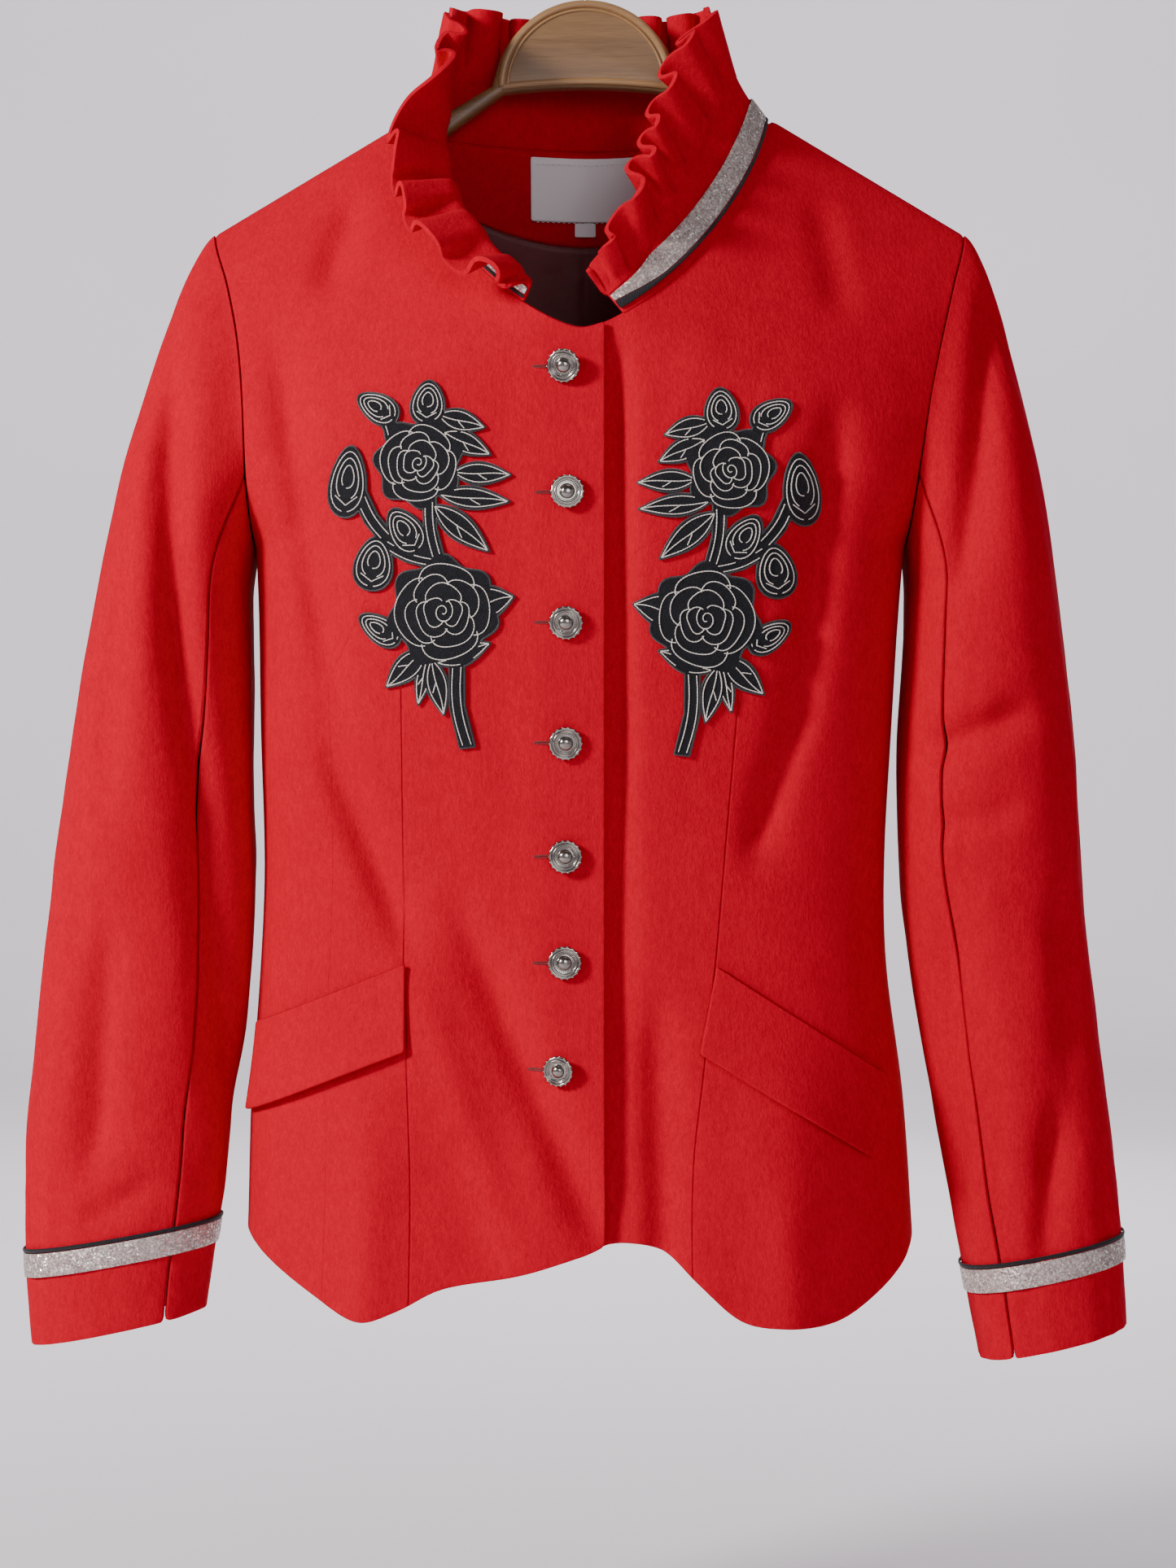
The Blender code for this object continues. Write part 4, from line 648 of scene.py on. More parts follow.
def sleeve_point(sleeve, angle, v):
    """A point of a sleeve's outer face, v running from the armhole to the cuff."""
    side, table, cuff, creases = sleeve
    ring = sleeve_ring(table, side, angle, SLEEVE_TOP_Z)
    if v <= SLEEVE_CAP_SHARE:
        t = v / SLEEVE_CAP_SHARE
        start = armhole_point(side, angle)
        turn = (1.0 - cos(angle)) / 2
        leave = Vector((side * (1.0 - turn), 0.0, -0.5 - 0.5 * turn)).normalized()
        reach = min(SLEEVE_HEAD_REACH, (start - ring).length / 3)
        below = sleeve_ring(table, side, angle, SLEEVE_TOP_Z - 10.0)
        rise = (ring - below).normalized() * (start - ring).length * 0.45
        first = start + leave * reach
        second = ring + rise
        point = bow_between(start, first, second, ring, t)
    else:
        t = (v - SLEEVE_CAP_SHARE) / (1.0 - SLEEVE_CAP_SHARE)
        z = blend(SLEEVE_TOP_Z, cuff_z(cuff, table, side, ring.x), t)
        low = sleeve_ring(table, side, angle, z)
        z = blend(SLEEVE_TOP_Z, cuff_z(cuff, table, side, low.x), t)
        point = sleeve_ring(table, side, angle, z)
    push = sleeve_middle(sleeve, point.z) - point
    depth = crease_depth(creases, point.x, point.z) * soft_step(abs(sin(angle)) / 0.5)
    return point + push.normalized() * depth * soft_step(v / 0.1)


def sleeve_normal(sleeve, angle, v):
    """Outward normal of a sleeve, level with the armhole seam where it starts there."""
    turn = radians(3.0)
    around = sleeve_point(sleeve, angle + turn, v) - sleeve_point(sleeve, angle - turn, v)
    along = sleeve_point(sleeve, angle, min(v + 0.02, 1.0)) - sleeve_point(sleeve, angle, max(v - 0.02, 0.0))
    normal = around.cross(along).normalized()
    point = sleeve_point(sleeve, angle, v)
    away = point - sleeve_middle(sleeve, point.z)
    if v < SLEEVE_CAP_SHARE:
        away.z = (point.z - SLEEVE_HEAD_MIDDLE_Z) * 0.6
    if normal.dot(away) < 0:
        normal.negate()
    if v == 0.0:
        normal.x = 0.0
        normal.normalize()
    return normal


def neckline_points():
    """Points of the neckline from the collar's left end round the back to its right end."""
    left_corner = NECK_MIDDLE_X - NECK_HALF_WIDTH
    right_corner = NECK_MIDDLE_X + NECK_HALF_WIDTH
    steps = 24
    points = []
    for k in range(steps):
        x = blend(left_corner, COLLAR_LEFT_END_X, (1.0 - k / steps) ** 2)
        points.append(front_point(x, neck_z(x, True)))
    for k in range(2 * steps):
        x = NECK_MIDDLE_X - NECK_HALF_WIDTH * cos(pi * k / (2 * steps))
        z = neck_z(x, False)
        points.append(Vector((x, torso_y(x, z, False), z)))
    for k in range(steps + 1):
        x = blend(right_corner, COLLAR_RIGHT_END_X, (k / steps) ** 2)
        points.append(front_point(max(x, LAP_EDGE_X + 0.1), neck_z(x, True)))
    return points


def neckline_table():
    """The neckline as a list of (share of the way round, point)."""
    points = neckline_points()
    lengths = [0.0]
    for first, second in zip(points, points[1:]):
        lengths.append(lengths[-1] + (second - first).length)
    return [(length / lengths[-1], point) for length, point in zip(lengths, points)]


NECKLINE = neckline_table()
NECKLINE_LENGTH = sum((far[1] - near[1]).length for near, far in zip(NECKLINE, NECKLINE[1:]))


@lru_cache(maxsize=None)
def neckline_at(place):
    """A point of the neckline at a share of the way round, with its neighbours averaged in."""
    total = Vector()
    for offset in NECKLINE_SMOOTHING:
        where = min(max(place + offset, 0.0), 1.0)
        index = 0
        while index < len(NECKLINE) - 2 and NECKLINE[index + 1][0] < where:
            index += 1
        low, start = NECKLINE[index]
        high, end = NECKLINE[index + 1]
        total += start.lerp(end, (where - low) / (high - low))
    return total / len(NECKLINE_SMOOTHING)


@lru_cache(maxsize=None)
def collar_frame(place):
    """Foot point, inward direction and upward direction of the collar at a share of the way round."""
    foot = neckline_at(place)
    ahead = neckline_at(min(place + COLLAR_TURN_SPAN, 1.0))
    behind = neckline_at(max(place - COLLAR_TURN_SPAN, 0.0))
    tangent = (ahead - behind).normalized()
    inward = COLLAR_CENTRE - foot
    inward = (inward - tangent * inward.dot(tangent)).normalized()
    upward = inward.cross(tangent).normalized()
    if upward.z < 0:
        upward.negate()
    return foot + upward * COLLAR_SEAT_LIFT, inward, upward


@lru_cache(maxsize=None)
def collar_reading(place, column):
    """Read a column of the collar's table at a share of the way round."""
    return read_column(COLLAR, "place", column, place)


def collar_angle(place, share):
    """Angle above the inward direction at which the collar runs, at a share of its whole width."""
    start = radians(collar_reading(place, "start"))
    finish = radians(collar_reading(place, "finish"))
    stand = collar_reading(place, "stand")
    whole = stand + collar_reading(place, "ruffle")
    bend_from = 0.8 * stand / whole
    return blend(start, finish, soft_step((share - bend_from) / CURL_SHARE))


def collar_point(place, distance, lift=0.0):
    """A point of the collar at a distance from the neckline, moved out along the collar's own normal."""
    foot, inward, upward = collar_frame(place)
    whole = collar_reading(place, "stand") + collar_reading(place, "ruffle")
    steps = 14
    point = foot.copy()
    for k in range(steps):
        angle = collar_angle(place, (k + 0.5) / steps * distance / whole)
        run = distance / steps
        point += (inward * cos(angle) + upward * sin(angle)) * run
    angle = collar_angle(place, distance / whole)
    normal = upward * cos(angle) - inward * sin(angle)
    return point + normal * lift


def braid_width(place):
    """Width of the collar's braid, which widens into a wedge at the right end."""
    return blend(COLLAR_BRAID_WIDTH, COLLAR_BRAID_END_WIDTH, soft_step((place - 0.93) / 0.07))


def ruffle_wave(place, rise):
    """How far the ruffle's wave carries the cloth to one side, growing toward its free edge."""
    uneven = 1.0 + 0.25 * sin(1.7 * RUFFLE_WAVES * place + 0.6)
    return collar_reading(place, "wave") * uneven * sin(ruffle_turn(place)) * rise ** 0.8


def flap_spot(corners, p, q):
    """A place in the front view inside a flap's four corners."""
    top_in, top_out, low_out, low_in = (Vector(corner) for corner in corners)
    return top_in.lerp(top_out, p).lerp(low_in.lerp(low_out, p), q)


def round_steps(count):
    """Angles in even steps once round."""
    return [2 * pi * k / count for k in range(count)]


def rose_outline(piece):
    """Outline of a rose with shallow lobes."""
    points = []
    for angle in round_steps(ROSE_POINTS):
        radius = piece.length / 2 * (1.0 + ROSE_LOBE_DEPTH * cos(ROSE_LOBES * angle))
        points.append((radius * sin(angle), radius * cos(angle)))
    return points


def bud_outline(piece):
    """Outline of a bud, round below and narrower above."""
    half, rise = piece.width / 2, piece.length / 2
    return [
        (half * (1.0 - 0.25 * cos(angle)) * sin(angle), rise * cos(angle))
        for angle in round_steps(BUD_POINTS)
    ]


def leaf_outline(piece):
    """Outline of a leaf with a point at each end."""
    half = piece.width / 2
    shares = [k / LEAF_POINTS for k in range(LEAF_POINTS)]
    right = [(half * sin(pi * t ** 0.85), piece.length * (t - 0.5)) for t in shares]
    left = [(-x, z) for x, z in reversed(right[1:])]
    return right + [(0.0, piece.length / 2)] + left


def stem_outline(piece):
    """Outline of a stem, a narrow strip with a slight bow."""
    half = piece.width / 2
    bow = piece.length * 0.06
    low, high = -piece.length / 2, piece.length / 2
    return [(-half, low), (half, low), (half + bow, 0.0), (half, high), (-half, high), (-half + bow, 0.0)]


def in_spray(piece, points):
    """Turn and move a piece's own points into the spray's flat frame."""
    turn = radians(piece.turn)
    up, side = cos(turn), sin(turn)
    return [Vector((piece.x + x * up + z * side, piece.z - x * side + z * up)) for x, z in points]


def spray_outline(piece):
    """Outline of one piece of a spray in the spray's flat frame, turned the same way round for all."""
    points = in_spray(piece, OUTLINES[piece.kind](piece))
    area = sum(p.x * q.y - q.x * p.y for p, q in zip(points, points[1:] + points[:1]))
    return points if area > 0 else points[::-1]


def back_inside(x, z, depth):
    """A point a depth inside the outer face of the back."""
    step = 1.0
    here = Vector((x, torso_y(x, z, False), z))
    across = Vector((x + step, torso_y(x + step, z, False), z)) - here
    along = Vector((x, torso_y(x, z + step, False), z + step)) - here
    normal = along.cross(across).normalized()
    return here - normal * depth


def plate_arc(half_width, rise):
    """Points of the half-round plate of the hanger from its left foot over the top to its right one."""
    angles = [pi * (1.0 - t) for t in shares(PLATE_ARC_STEPS)]
    return [(half_width * cos(turn), PLATE_FOOT_Z + rise * sin(turn)) for turn in angles]


def arm_top_z(x):
    """Height of the upper edge of a hanger arm."""
    return shoulder_z(x) - ARM_DROP


def extrude(bm):
    """Extrude every face in place, keep the old ones, and return the new points."""
    made = bmesh.ops.extrude_face_region(bm, geom=bm.faces[:], use_keep_orig=True)
    return [part for part in made["geom"] if isinstance(part, bmesh.types.BMVert)]


def turn_section(bm, section, steps):
    """Turn a half section of (radius, height) once round the upright axis."""
    verts = [bm.verts.new((radius, 0.0, height)) for radius, height in section]
    edges = [bm.edges.new(pair) for pair in zip(verts, verts[1:])]
    bmesh.ops.spin(
        bm, geom=verts + edges, cent=(0, 0, 0), axis=(0, 0, 1), angle=2 * pi, steps=steps,
        use_merge=True, use_duplicate=False,
    )
    bmesh.ops.remove_doubles(bm, verts=bm.verts, dist=0.001)
    bmesh.ops.recalc_face_normals(bm, faces=bm.faces)


def hook_route():
    """Points along the wire of the hook, from the plate up the stem and round to its tip."""
    crown_z = HOOK_WIRE
    centre_z = crown_z - HOOK_RADIUS
    points = [Vector((0, 0, PLATE_FOOT_Z + PLATE_RISE + 0.4)), Vector((0, 0, HOOK_STEM_TOP_Z))]
    start = radians(HOOK_START_DEGREES)
    first = Vector((HOOK_RADIUS * cos(start), 0, centre_z + HOOK_RADIUS * sin(start)))
    heading = Vector((sin(start), 0, -cos(start)))
    bend_from = points[-1]
    near = bend_from + Vector((0, 0, 11.0))
    far = first - heading * 15.0
    points += [bow_between(bend_from, near, far, first, t) for t in shares(HOOK_BEND_STEPS)[1:-1]]
    for t in shares(HOOK_ARC_STEPS):
        angle = blend(start, radians(HOOK_END_DEGREES), t)
        points.append(Vector((HOOK_RADIUS * cos(angle), 0, centre_z + HOOK_RADIUS * sin(angle))))
    return points


def plug(node, values):
    """Fill a node's inputs with plain values, or join them to the sockets given."""
    for key, value in values.items():
        if isinstance(value, bpy.types.NodeSocket):
            node.id_data.links.new(value, node.inputs[key])
        else:
            node.inputs[key].default_value = value


def add_node(tree, kind, inputs=None, **settings):
    """Add a node, set its options, and fill or join its inputs."""
    made = tree.nodes.new(kind)
    for key, value in settings.items():
        setattr(made, key, value)
    plug(made, inputs or {})
    return made


def add_math(tree, operation, first, second=0.0):
    """Add a math node and return its result."""
    return add_node(tree, "ShaderNodeMath", {0: first, 1: second}, operation=operation).outputs[0]


def times(tree, first, second):
    """The product of two values."""
    return add_math(tree, "MULTIPLY", first, second)


def add_vectors(tree, operation, first, second=(0.0, 0.0, 0.0)):
    """Add a vector math node and return its result."""
    return add_node(tree, "ShaderNodeVectorMath", {0: first, 1: second}, operation=operation).outputs[0]


def scaled(tree, colour, share):
    """A colour or vector made larger or smaller by a share."""
    return add_node(tree, "ShaderNodeVectorMath", {0: colour, "Scale": share}, operation="SCALE").outputs[0]


def stretched(tree, place, scale):
    """Coordinates scaled along each axis."""
    return add_node(tree, "ShaderNodeMapping", {"Vector": place, "Scale": scale}).outputs[0]


def add_range(tree, value, low, high, to_low, to_high, smooth=False):
    """Map a value from one range to another."""
    kind = "SMOOTHSTEP" if smooth else "LINEAR"
    inputs = {"Value": value, "From Min": low, "From Max": high, "To Min": to_low, "To Max": to_high}
    return add_node(tree, "ShaderNodeMapRange", inputs, interpolation_type=kind).outputs["Result"]


def add_mix(tree, share, first, second):
    """Mix two colours."""
    inputs = {0: share, 6: first, 7: second}
    return add_node(tree, "ShaderNodeMix", inputs, data_type="RGBA").outputs[2]


def add_noise(tree, vector, scale, detail=2.0, roughness=0.5):
    """Add a noise texture and return its value."""
    inputs = {"Vector": vector, "Scale": scale, "Detail": detail, "Roughness": roughness}
    return add_node(tree, "ShaderNodeTexNoise", inputs).outputs["Fac"]


def speckle(tree, vector, scale, detail, roughness, low, high):
    """Noise spread over a range of values."""
    return add_range(tree, add_noise(tree, vector, scale, detail, roughness), 0.3, 0.7, low, high)


def new_group(name, inputs, outputs):
    """Start a shader node group. Each input is a kind of socket, or a number that is its plain value."""
    group = bpy.data.node_groups.new(name, "ShaderNodeTree")
    for label, given in inputs.items():
        plain = isinstance(given, float)
        kind = "NodeSocketFloat" if plain else "NodeSocket" + given
        socket = group.interface.new_socket(label, in_out="INPUT", socket_type=kind)
        if plain:
            socket.default_value = given
    for label, kind in outputs.items():
        group.interface.new_socket(label, in_out="OUTPUT", socket_type="NodeSocket" + kind)
    return group, group.nodes.new("NodeGroupInput").outputs, group.nodes.new("NodeGroupOutput")


@lru_cache(maxsize=None)
def felt_group():
    """Felted wool: short fibres that lie mostly downward, pressed patches and a cloudy dye."""
    group, given, out = new_group(
        "felt_nap", {"Vector": "Vector", "Dye": "Color", "Cloud": 0.1}, {"Color": "Color", "Height": "Float"},
    )
    place = given["Vector"]
    combed = stretched(group, place, (1.0, 1.0, 0.5))
    fibre = add_noise(group, combed, 1150.0, 3.0, 0.65)
    tuft = add_noise(group, combed, 420.0, 3.0, 0.6)
    patch = add_noise(group, place, 90.0, 3.0, 0.55)
    cloud = add_noise(group, place, 11.0, 2.0, 0.5)
    depth = add_range(group, fibre, 0.3, 0.7, 0.88, 1.08)
    depth = times(group, depth, add_range(group, tuft, 0.3, 0.7, 0.92, 1.07))
    depth = times(group, depth, add_range(group, patch, 0.3, 0.7, 0.97, 1.03))
    swing = times(group, add_math(group, "SUBTRACT", cloud, 0.5), given["Cloud"])
    dyed = scaled(group, given["Dye"], times(group, depth, add_math(group, "ADD", swing, 1.0)))
    lint = add_range(group, add_noise(group, place, 760.0, 1.0, 0.5), 0.72, 0.78, 0.0, 0.14)
    paler = add_vectors(group, "ADD", given["Dye"], (0.14, 0.05, 0.05))
    height = add_math(group, "ADD", times(group, fibre, 0.35), times(group, tuft, 0.65))
    height = add_math(group, "ADD", height, times(group, patch, 0.25))
    plug(out, {"Color": add_mix(group, lint, dyed, paler), "Height": height})
    return group


@lru_cache(maxsize=None)
def groove_group():
    """The hollow along a sewn line, from the distance to it in millimetres."""
    group, given, out = new_group("sewn_groove", {"Distance": 50.0, "Half Width": 1.2}, {"Mask": "Float"})
    share = add_math(group, "DIVIDE", add_math(group, "ABSOLUTE", given["Distance"]), given["Half Width"])
    plug(out, {"Mask": add_range(group, share, 0.0, 1.0, 1.0, 0.0, True)})
    return group


@lru_cache(maxsize=None)
def glitter_group():
    """Metal yarn knitted into a ribbon: small flakes that each face their own way, and a few painted near
    white as a painted glint.
    """
    group, given, out = new_group(
        "metal_yarn", {"Vector": "Vector", "Scale": 900.0, "Dark": "Color", "Bright": "Color", "Tilt": 0.5},
        {"Color": "Color", "Normal": "Vector", "Sparkle": "Float"},
    )
    spots = {"Vector": given["Vector"], "Scale": given["Scale"]}
    flakes = add_node(group, "ShaderNodeTexVoronoi", spots).outputs
    parts = add_node(group, "ShaderNodeSeparateXYZ", {0: flakes["Color"]}).outputs
    painted_glint = add_range(group, parts[0], 0.72, 0.98, 0.0, 1.0, True)
    shade = add_range(group, parts[1], 0.0, 1.0, 0.0, 0.75)
    plain = add_mix(group, shade, given["Dark"], given["Bright"])
    tilt = scaled(group, add_vectors(group, "SUBTRACT", flakes["Color"], (0.5, 0.5, 0.5)), given["Tilt"])
    upright = add_node(group, "ShaderNodeNewGeometry").outputs["Normal"]
    turned = add_vectors(group, "NORMALIZE", add_vectors(group, "ADD", tilt, upright))
    # Flakes in the glint mask are painted near white: a painted glint, on top of the real glints their tilted
    # normals catch.
    colour = add_mix(group, painted_glint, plain, (1.0, 0.95, 0.86, 1.0))
    plug(out, {"Sparkle": painted_glint, "Color": colour, "Normal": turned})
    return group


@lru_cache(maxsize=None)
def grain_group():
    """Wood grain: long fibres, growth rings and small pores."""
    group, given, out = new_group(
        "wood_grain", {"Vector": "Vector", "Light": "Color", "Dark": "Color"},
        {"Color": "Color", "Height": "Float"},
    )
    drawn = stretched(group, given["Vector"], (0.05, 1.0, 1.0))
    rings = add_range(group, add_noise(group, drawn, 120.0, 3.0, 0.55), 0.35, 0.65, 0.0, 0.7)
    fibre = add_noise(group, drawn, 1500.0, 2.0, 0.6)
    pores = add_range(group, add_noise(group, drawn, 620.0, 2.0, 0.6), 0.62, 0.7, 0.0, 1.0)
    share = add_math(group, "ADD", rings, add_range(group, fibre, 0.3, 0.7, -0.15, 0.3))
    colour = add_mix(group, share, given["Light"], given["Dark"])
    height = add_math(group, "SUBTRACT", times(group, fibre, 0.4), times(group, pores, 0.6))
    plug(out, {"Color": add_mix(group, times(group, pores, 0.4), colour, given["Dark"]), "Height": height})
    return group


@lru_cache(maxsize=None)
def weave_group():
    """Fine threads over and under each other, in the piece's own flat coordinates."""
    group, given, out = new_group(
        "fine_weave", {"Vector": "Vector", "Pitch": 0.0004, "Slant": 0.0},
        {"Height": "Float", "Shade": "Float"},
    )
    parts = add_node(group, "ShaderNodeSeparateXYZ", {0: given["Vector"]}).outputs
    per_length = add_math(group, "DIVIDE", 2 * pi, given["Pitch"])
    leaned = add_math(group, "ADD", parts[0], times(group, parts[2], given["Slant"]))
    warp = add_math(group, "SINE", times(group, leaned, per_length))
    weft = add_math(group, "SINE", times(group, parts[2], per_length))
    height = add_range(group, times(group, warp, weft), -1.0, 1.0, 0.0, 1.0)
    plug(out, {"Height": height, "Shade": speckle(group, given["Vector"], 240.0, 2.0, 0.6, 0.85, 1.1)})
    return group


def start_material(name, colour, roughness, **plain):
    """Start a material with plain values on its shader's own sockets, named with _ for a space."""
    material = bpy.data.materials.new(name)
    material.use_nodes = True
    material.diffuse_color = (*colour, 1.0)
    shader = material.node_tree.nodes["Principled BSDF"]
    plug(shader, {"Base Color": (*colour, 1.0), "Roughness": roughness})
    plug(shader, {label.replace("_", " "): value for label, value in plain.items()})
    return material, material.node_tree, shader


def object_place(tree):
    """Object coordinates, in metres."""
    return add_node(tree, "ShaderNodeTexCoord").outputs["Object"]


def attribute(tree, name):
    """A value kept on the piece's own points."""
    return add_node(tree, "ShaderNodeAttribute", attribute_name=name).outputs["Fac"]


def use_group(tree, group, inputs):
    """Place a node group in a material."""
    made = add_node(tree, "ShaderNodeGroup", node_tree=group)
    plug(made, inputs)
    return made.outputs


def weave(tree, place, pitch, slant):
    """Place the weave in a material."""
    return use_group(tree, weave_group(), {"Vector": place, "Pitch": pitch, "Slant": slant})


def bump_from(tree, height, metres, below=None):
    """Turn a height into a normal, over another normal where one is given."""
    inputs = {"Height": height, "Distance": metres, "Strength": 1.0}
    if below:
        inputs["Normal"] = below
    return add_node(tree, "ShaderNodeBump", inputs).outputs[0]


def wool_material(name, colour, nap):
    """Felted wool melton, with the hollows of its seams and darts, sunk in by a bump and darkened with
    painted shade.
    """
    material, tree, shader = start_material(
        name, colour, 0.95, Sheen_Weight=0.02, Sheen_Roughness=0.45, Sheen_Tint=(1.0, 0.35, 0.32, 1.0),
        Specular_IOR_Level=0.04,
    )
    felt = use_group(tree, felt_group(), {"Vector": object_place(tree), "Dye": (*colour, 1.0)})
    line = attribute(tree, "seam")
    groove = use_group(tree, groove_group(), {"Distance": line, "Half Width": SEAM_HALF_WIDTH})["Mask"]
    # The seam and dart hollows are darkened in colour here: painted shade in the grooves.
    painted_groove_shade = (*(0.3 * value for value in colour), 1.0)
    shaded = add_mix(tree, times(tree, groove, 0.22), felt["Color"], painted_groove_shade)
    napped = bump_from(tree, felt["Height"], nap)
    sunk = bump_from(tree, add_math(tree, "SUBTRACT", 1.0, groove), SEAM_DIP, napped)
    plug(shader, {"Base Color": shaded, "Normal": sunk})
    return material


def ribbon_material(dark, bright):
    """Silver ribbon with metal yarn."""
    material, tree, shader = start_material("silver_ribbon", bright, 0.34, Metallic=0.55)
    colours = {"Dark": (*dark, 1.0), "Bright": (*bright, 1.0)}
    flakes = use_group(
        tree, glitter_group(), {"Vector": object_place(tree), "Scale": 1050.0, "Tilt": 0.75, **colours},
    )
    # The flakes that carry the painted glint are also made smoother.
    rough = add_range(tree, flakes["Sparkle"], 0.0, 1.0, 0.5, 0.16)
    plug(shader, {"Base Color": flakes["Color"], "Normal": flakes["Normal"], "Roughness": rough})
    return material


def braid_material(colour):
    """Black braid with slanting strands."""
    material, tree, shader = start_material(
        "black_braid", colour, 0.6, Sheen_Weight=0.05, Specular_IOR_Level=0.3,
    )
    strands = weave(tree, object_place(tree), 0.0011, 0.8)
    plug(shader, {"Normal": bump_from(tree, strands["Height"], 0.0003)})
    return material


def patch_material(colour):
    """Black fill stitches side by side, with the sheen of rayon thread."""
    material, tree, shader = start_material(
        "black_applique", colour, 0.6, Sheen_Weight=0.04, Specular_IOR_Level=0.25,
    )
    place = object_place(tree)
    fill = weave(tree, place, 0.0009, 0.55)
    thread = times(tree, speckle(tree, place, 900.0, 2.0, 0.6, 0.6, 1.5), fill["Shade"])
    normal = bump_from(tree, fill["Height"], 0.00035)
    plug(shader, {"Base Color": scaled(tree, colour, thread), "Normal": normal})
    return material


def thread_material(name, colour, roughness=0.45, spread=0.2):
    """Thread whose stitches vary a little in tone."""
    material, tree, shader = start_material(name, colour, roughness, Sheen_Weight=0.3)
    tone = speckle(tree, object_place(tree), 700.0, 2.0, 0.6, 1.0 - spread, 1.0 + spread)
    plug(shader, {"Base Color": scaled(tree, colour, tone)})
    return material


def satin_material(colour):
    """Lining satin: smooth, fine ribs, soft gloss."""
    material, tree, shader = start_material("lining_satin", colour, 0.42, Sheen_Weight=0.2)
    place = object_place(tree)
    ribs = weave(tree, place, 0.0005, 0.4)
    puckered = bump_from(tree, add_noise(tree, place, 95.0, 2.0, 0.5), 0.0006)
    normal = bump_from(tree, ribs["Height"], 0.00005, puckered)
    plug(shader, {"Base Color": scaled(tree, colour, ribs["Shade"]), "Normal": normal})
    return material


def label_material(colour):
    """Woven label: bare satin ground with fine weft lines."""
    material, tree, shader = start_material("woven_label", colour, 0.5, Sheen_Weight=0.1)
    weft = weave(tree, object_place(tree), 0.0006, 0.0)["Height"]
    tone = add_range(tree, weft, 0.0, 1.0, 0.9, 1.03)
    plug(shader, {"Base Color": scaled(tree, colour, tone), "Normal": bump_from(tree, weft, 0.00008)})
    return material


def metal_material(bright, dark):
    """Antique silver: polished where it stands out, dark in its hollows, and darker on a button's dome, where
    a dark reflection is painted in.
    """
    material, tree, shader = start_material("antique_metal", bright, 0.26, Metallic=1.0)
    stain = add_noise(tree, object_place(tree), 420.0, 3.0, 0.6)
    # The raised attribute mixes polish and patina, and on the buttons' domes a painted dark reflection.
    share = add_math(tree, "ADD", attribute(tree, "raised"), add_range(tree, stain, 0.3, 0.7, -0.15, 0.15))
    share = add_range(tree, share, 0.38, 0.82, 0.0, 1.0, True)
    plug(shader, {
        "Base Color": add_mix(tree, share, (*dark, 1.0), (*bright, 1.0)),
        "Roughness": add_range(tree, share, 0.0, 1.0, 0.6, 0.2),
        "Normal": bump_from(tree, stain, 0.00004),
    })
    return material


def steel_material(colour):
    """Nickel-plated steel wire with fine draw marks."""
    material, tree, shader = start_material("hook_steel", colour, 0.24, Metallic=1.0)
    marks = add_noise(tree, object_place(tree), 1400.0, 2.0, 0.6)
    rough = add_range(tree, marks, 0.3, 0.7, 0.16, 0.34)
    plug(shader, {"Roughness": rough, "Normal": bump_from(tree, marks, 0.00002)})
    return material


def wood_material(name, light, dark):
    """Varnished pale wood."""
    material, tree, shader = start_material(name, light, 0.42, Coat_Weight=0.25, Coat_Roughness=0.25)
    tones = {"Light": (*light, 1.0), "Dark": (*dark, 1.0)}
    grain = use_group(tree, grain_group(), {"Vector": object_place(tree), **tones})
    plug(shader, {"Base Color": grain["Color"], "Normal": bump_from(tree, grain["Height"], 0.00012)})
    return material


def cloth_drift(x, z, reach):
    """Slow unevenness that no pressed cloth is without."""
    broad = noise.noise(Vector((x / 46.0, z / 58.0, 3.7)))
    narrow = noise.noise(Vector((x / 17.0, z / 23.0, 9.1)))
    return reach * broad + 0.4 * reach * narrow


def smooth_mesh(name, bm):
    """Turn a bmesh into smoothly shaded mesh data."""
    mesh_data = bpy.data.meshes.new(name)
    bm.to_mesh(mesh_data)
    bm.free()
    mesh_data.shade_smooth()
    return mesh_data


def link_object(name, data):
    """Show mesh, curve, light or camera data as an object."""
    item = bpy.data.objects.new(name, data)
    bpy.context.scene.collection.objects.link(item)
    return item


def new_piece(name, bm, materials, smooth_degrees=None):
    """Turn a bmesh in millimetres into a shown piece in metres that rides with the jacket."""
    bmesh.ops.scale(bm, vec=(MM, MM, MM), verts=bm.verts)
    mesh_data = smooth_mesh(name, bm)
    if smooth_degrees:
        mesh_data.set_sharp_from_angle(angle=radians(smooth_degrees))
    return place_piece(name, mesh_data, materials)


def place_piece(name, data, materials):
    """Give mesh or curve data its materials, show it and let it ride on the one body."""
    for material in materials:
        data.materials.append(material)
    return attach(link_object(name, data), "root")


def stand_for(item, slot, node=None):
    """Hide the solid from model.glb that a piece stands for, where one is given. The slot is not used."""
    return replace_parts(item, node) if node else item


def add_modifier(item, name, kind, **settings):
    """Add a modifier and set its options."""
    modifier = item.modifiers.new(name, kind)
    for key, value in settings.items():
        setattr(modifier, key, value)


def give_wall(item, wall, edge=0.5, inner_material=0):
    """Smooth a sheet, give it its wall on the inner side, round its edges and hide the solid from model.glb
    that it stands for.
    """
    add_modifier(item, "Smooth", "SUBSURF", levels=1, render_levels=1)
    add_modifier(
        item, "Wall", "SOLIDIFY", thickness=wall * MM, offset=-1.0, material_offset=inner_material,
    )
    if edge:
        add_modifier(
            item, "Edge", "BEVEL", width=edge * MM, segments=2, limit_method="ANGLE",
            angle_limit=radians(62.0),
        )
    cut = CUTS[item.name]
    stand_for(item, cut.slot, cut.node)


def forward(point):
    """The way a piece on the front faces."""
    return Vector((0.0, -1.0, 0.0))


def from_arm(sleeve):
    """The way a piece of a sleeve faces."""
    return lambda point: point - sleeve_middle(sleeve, point.z)


def from_neck(point):
    """The way a piece of the collar faces."""
    return point - COLLAR_CENTRE


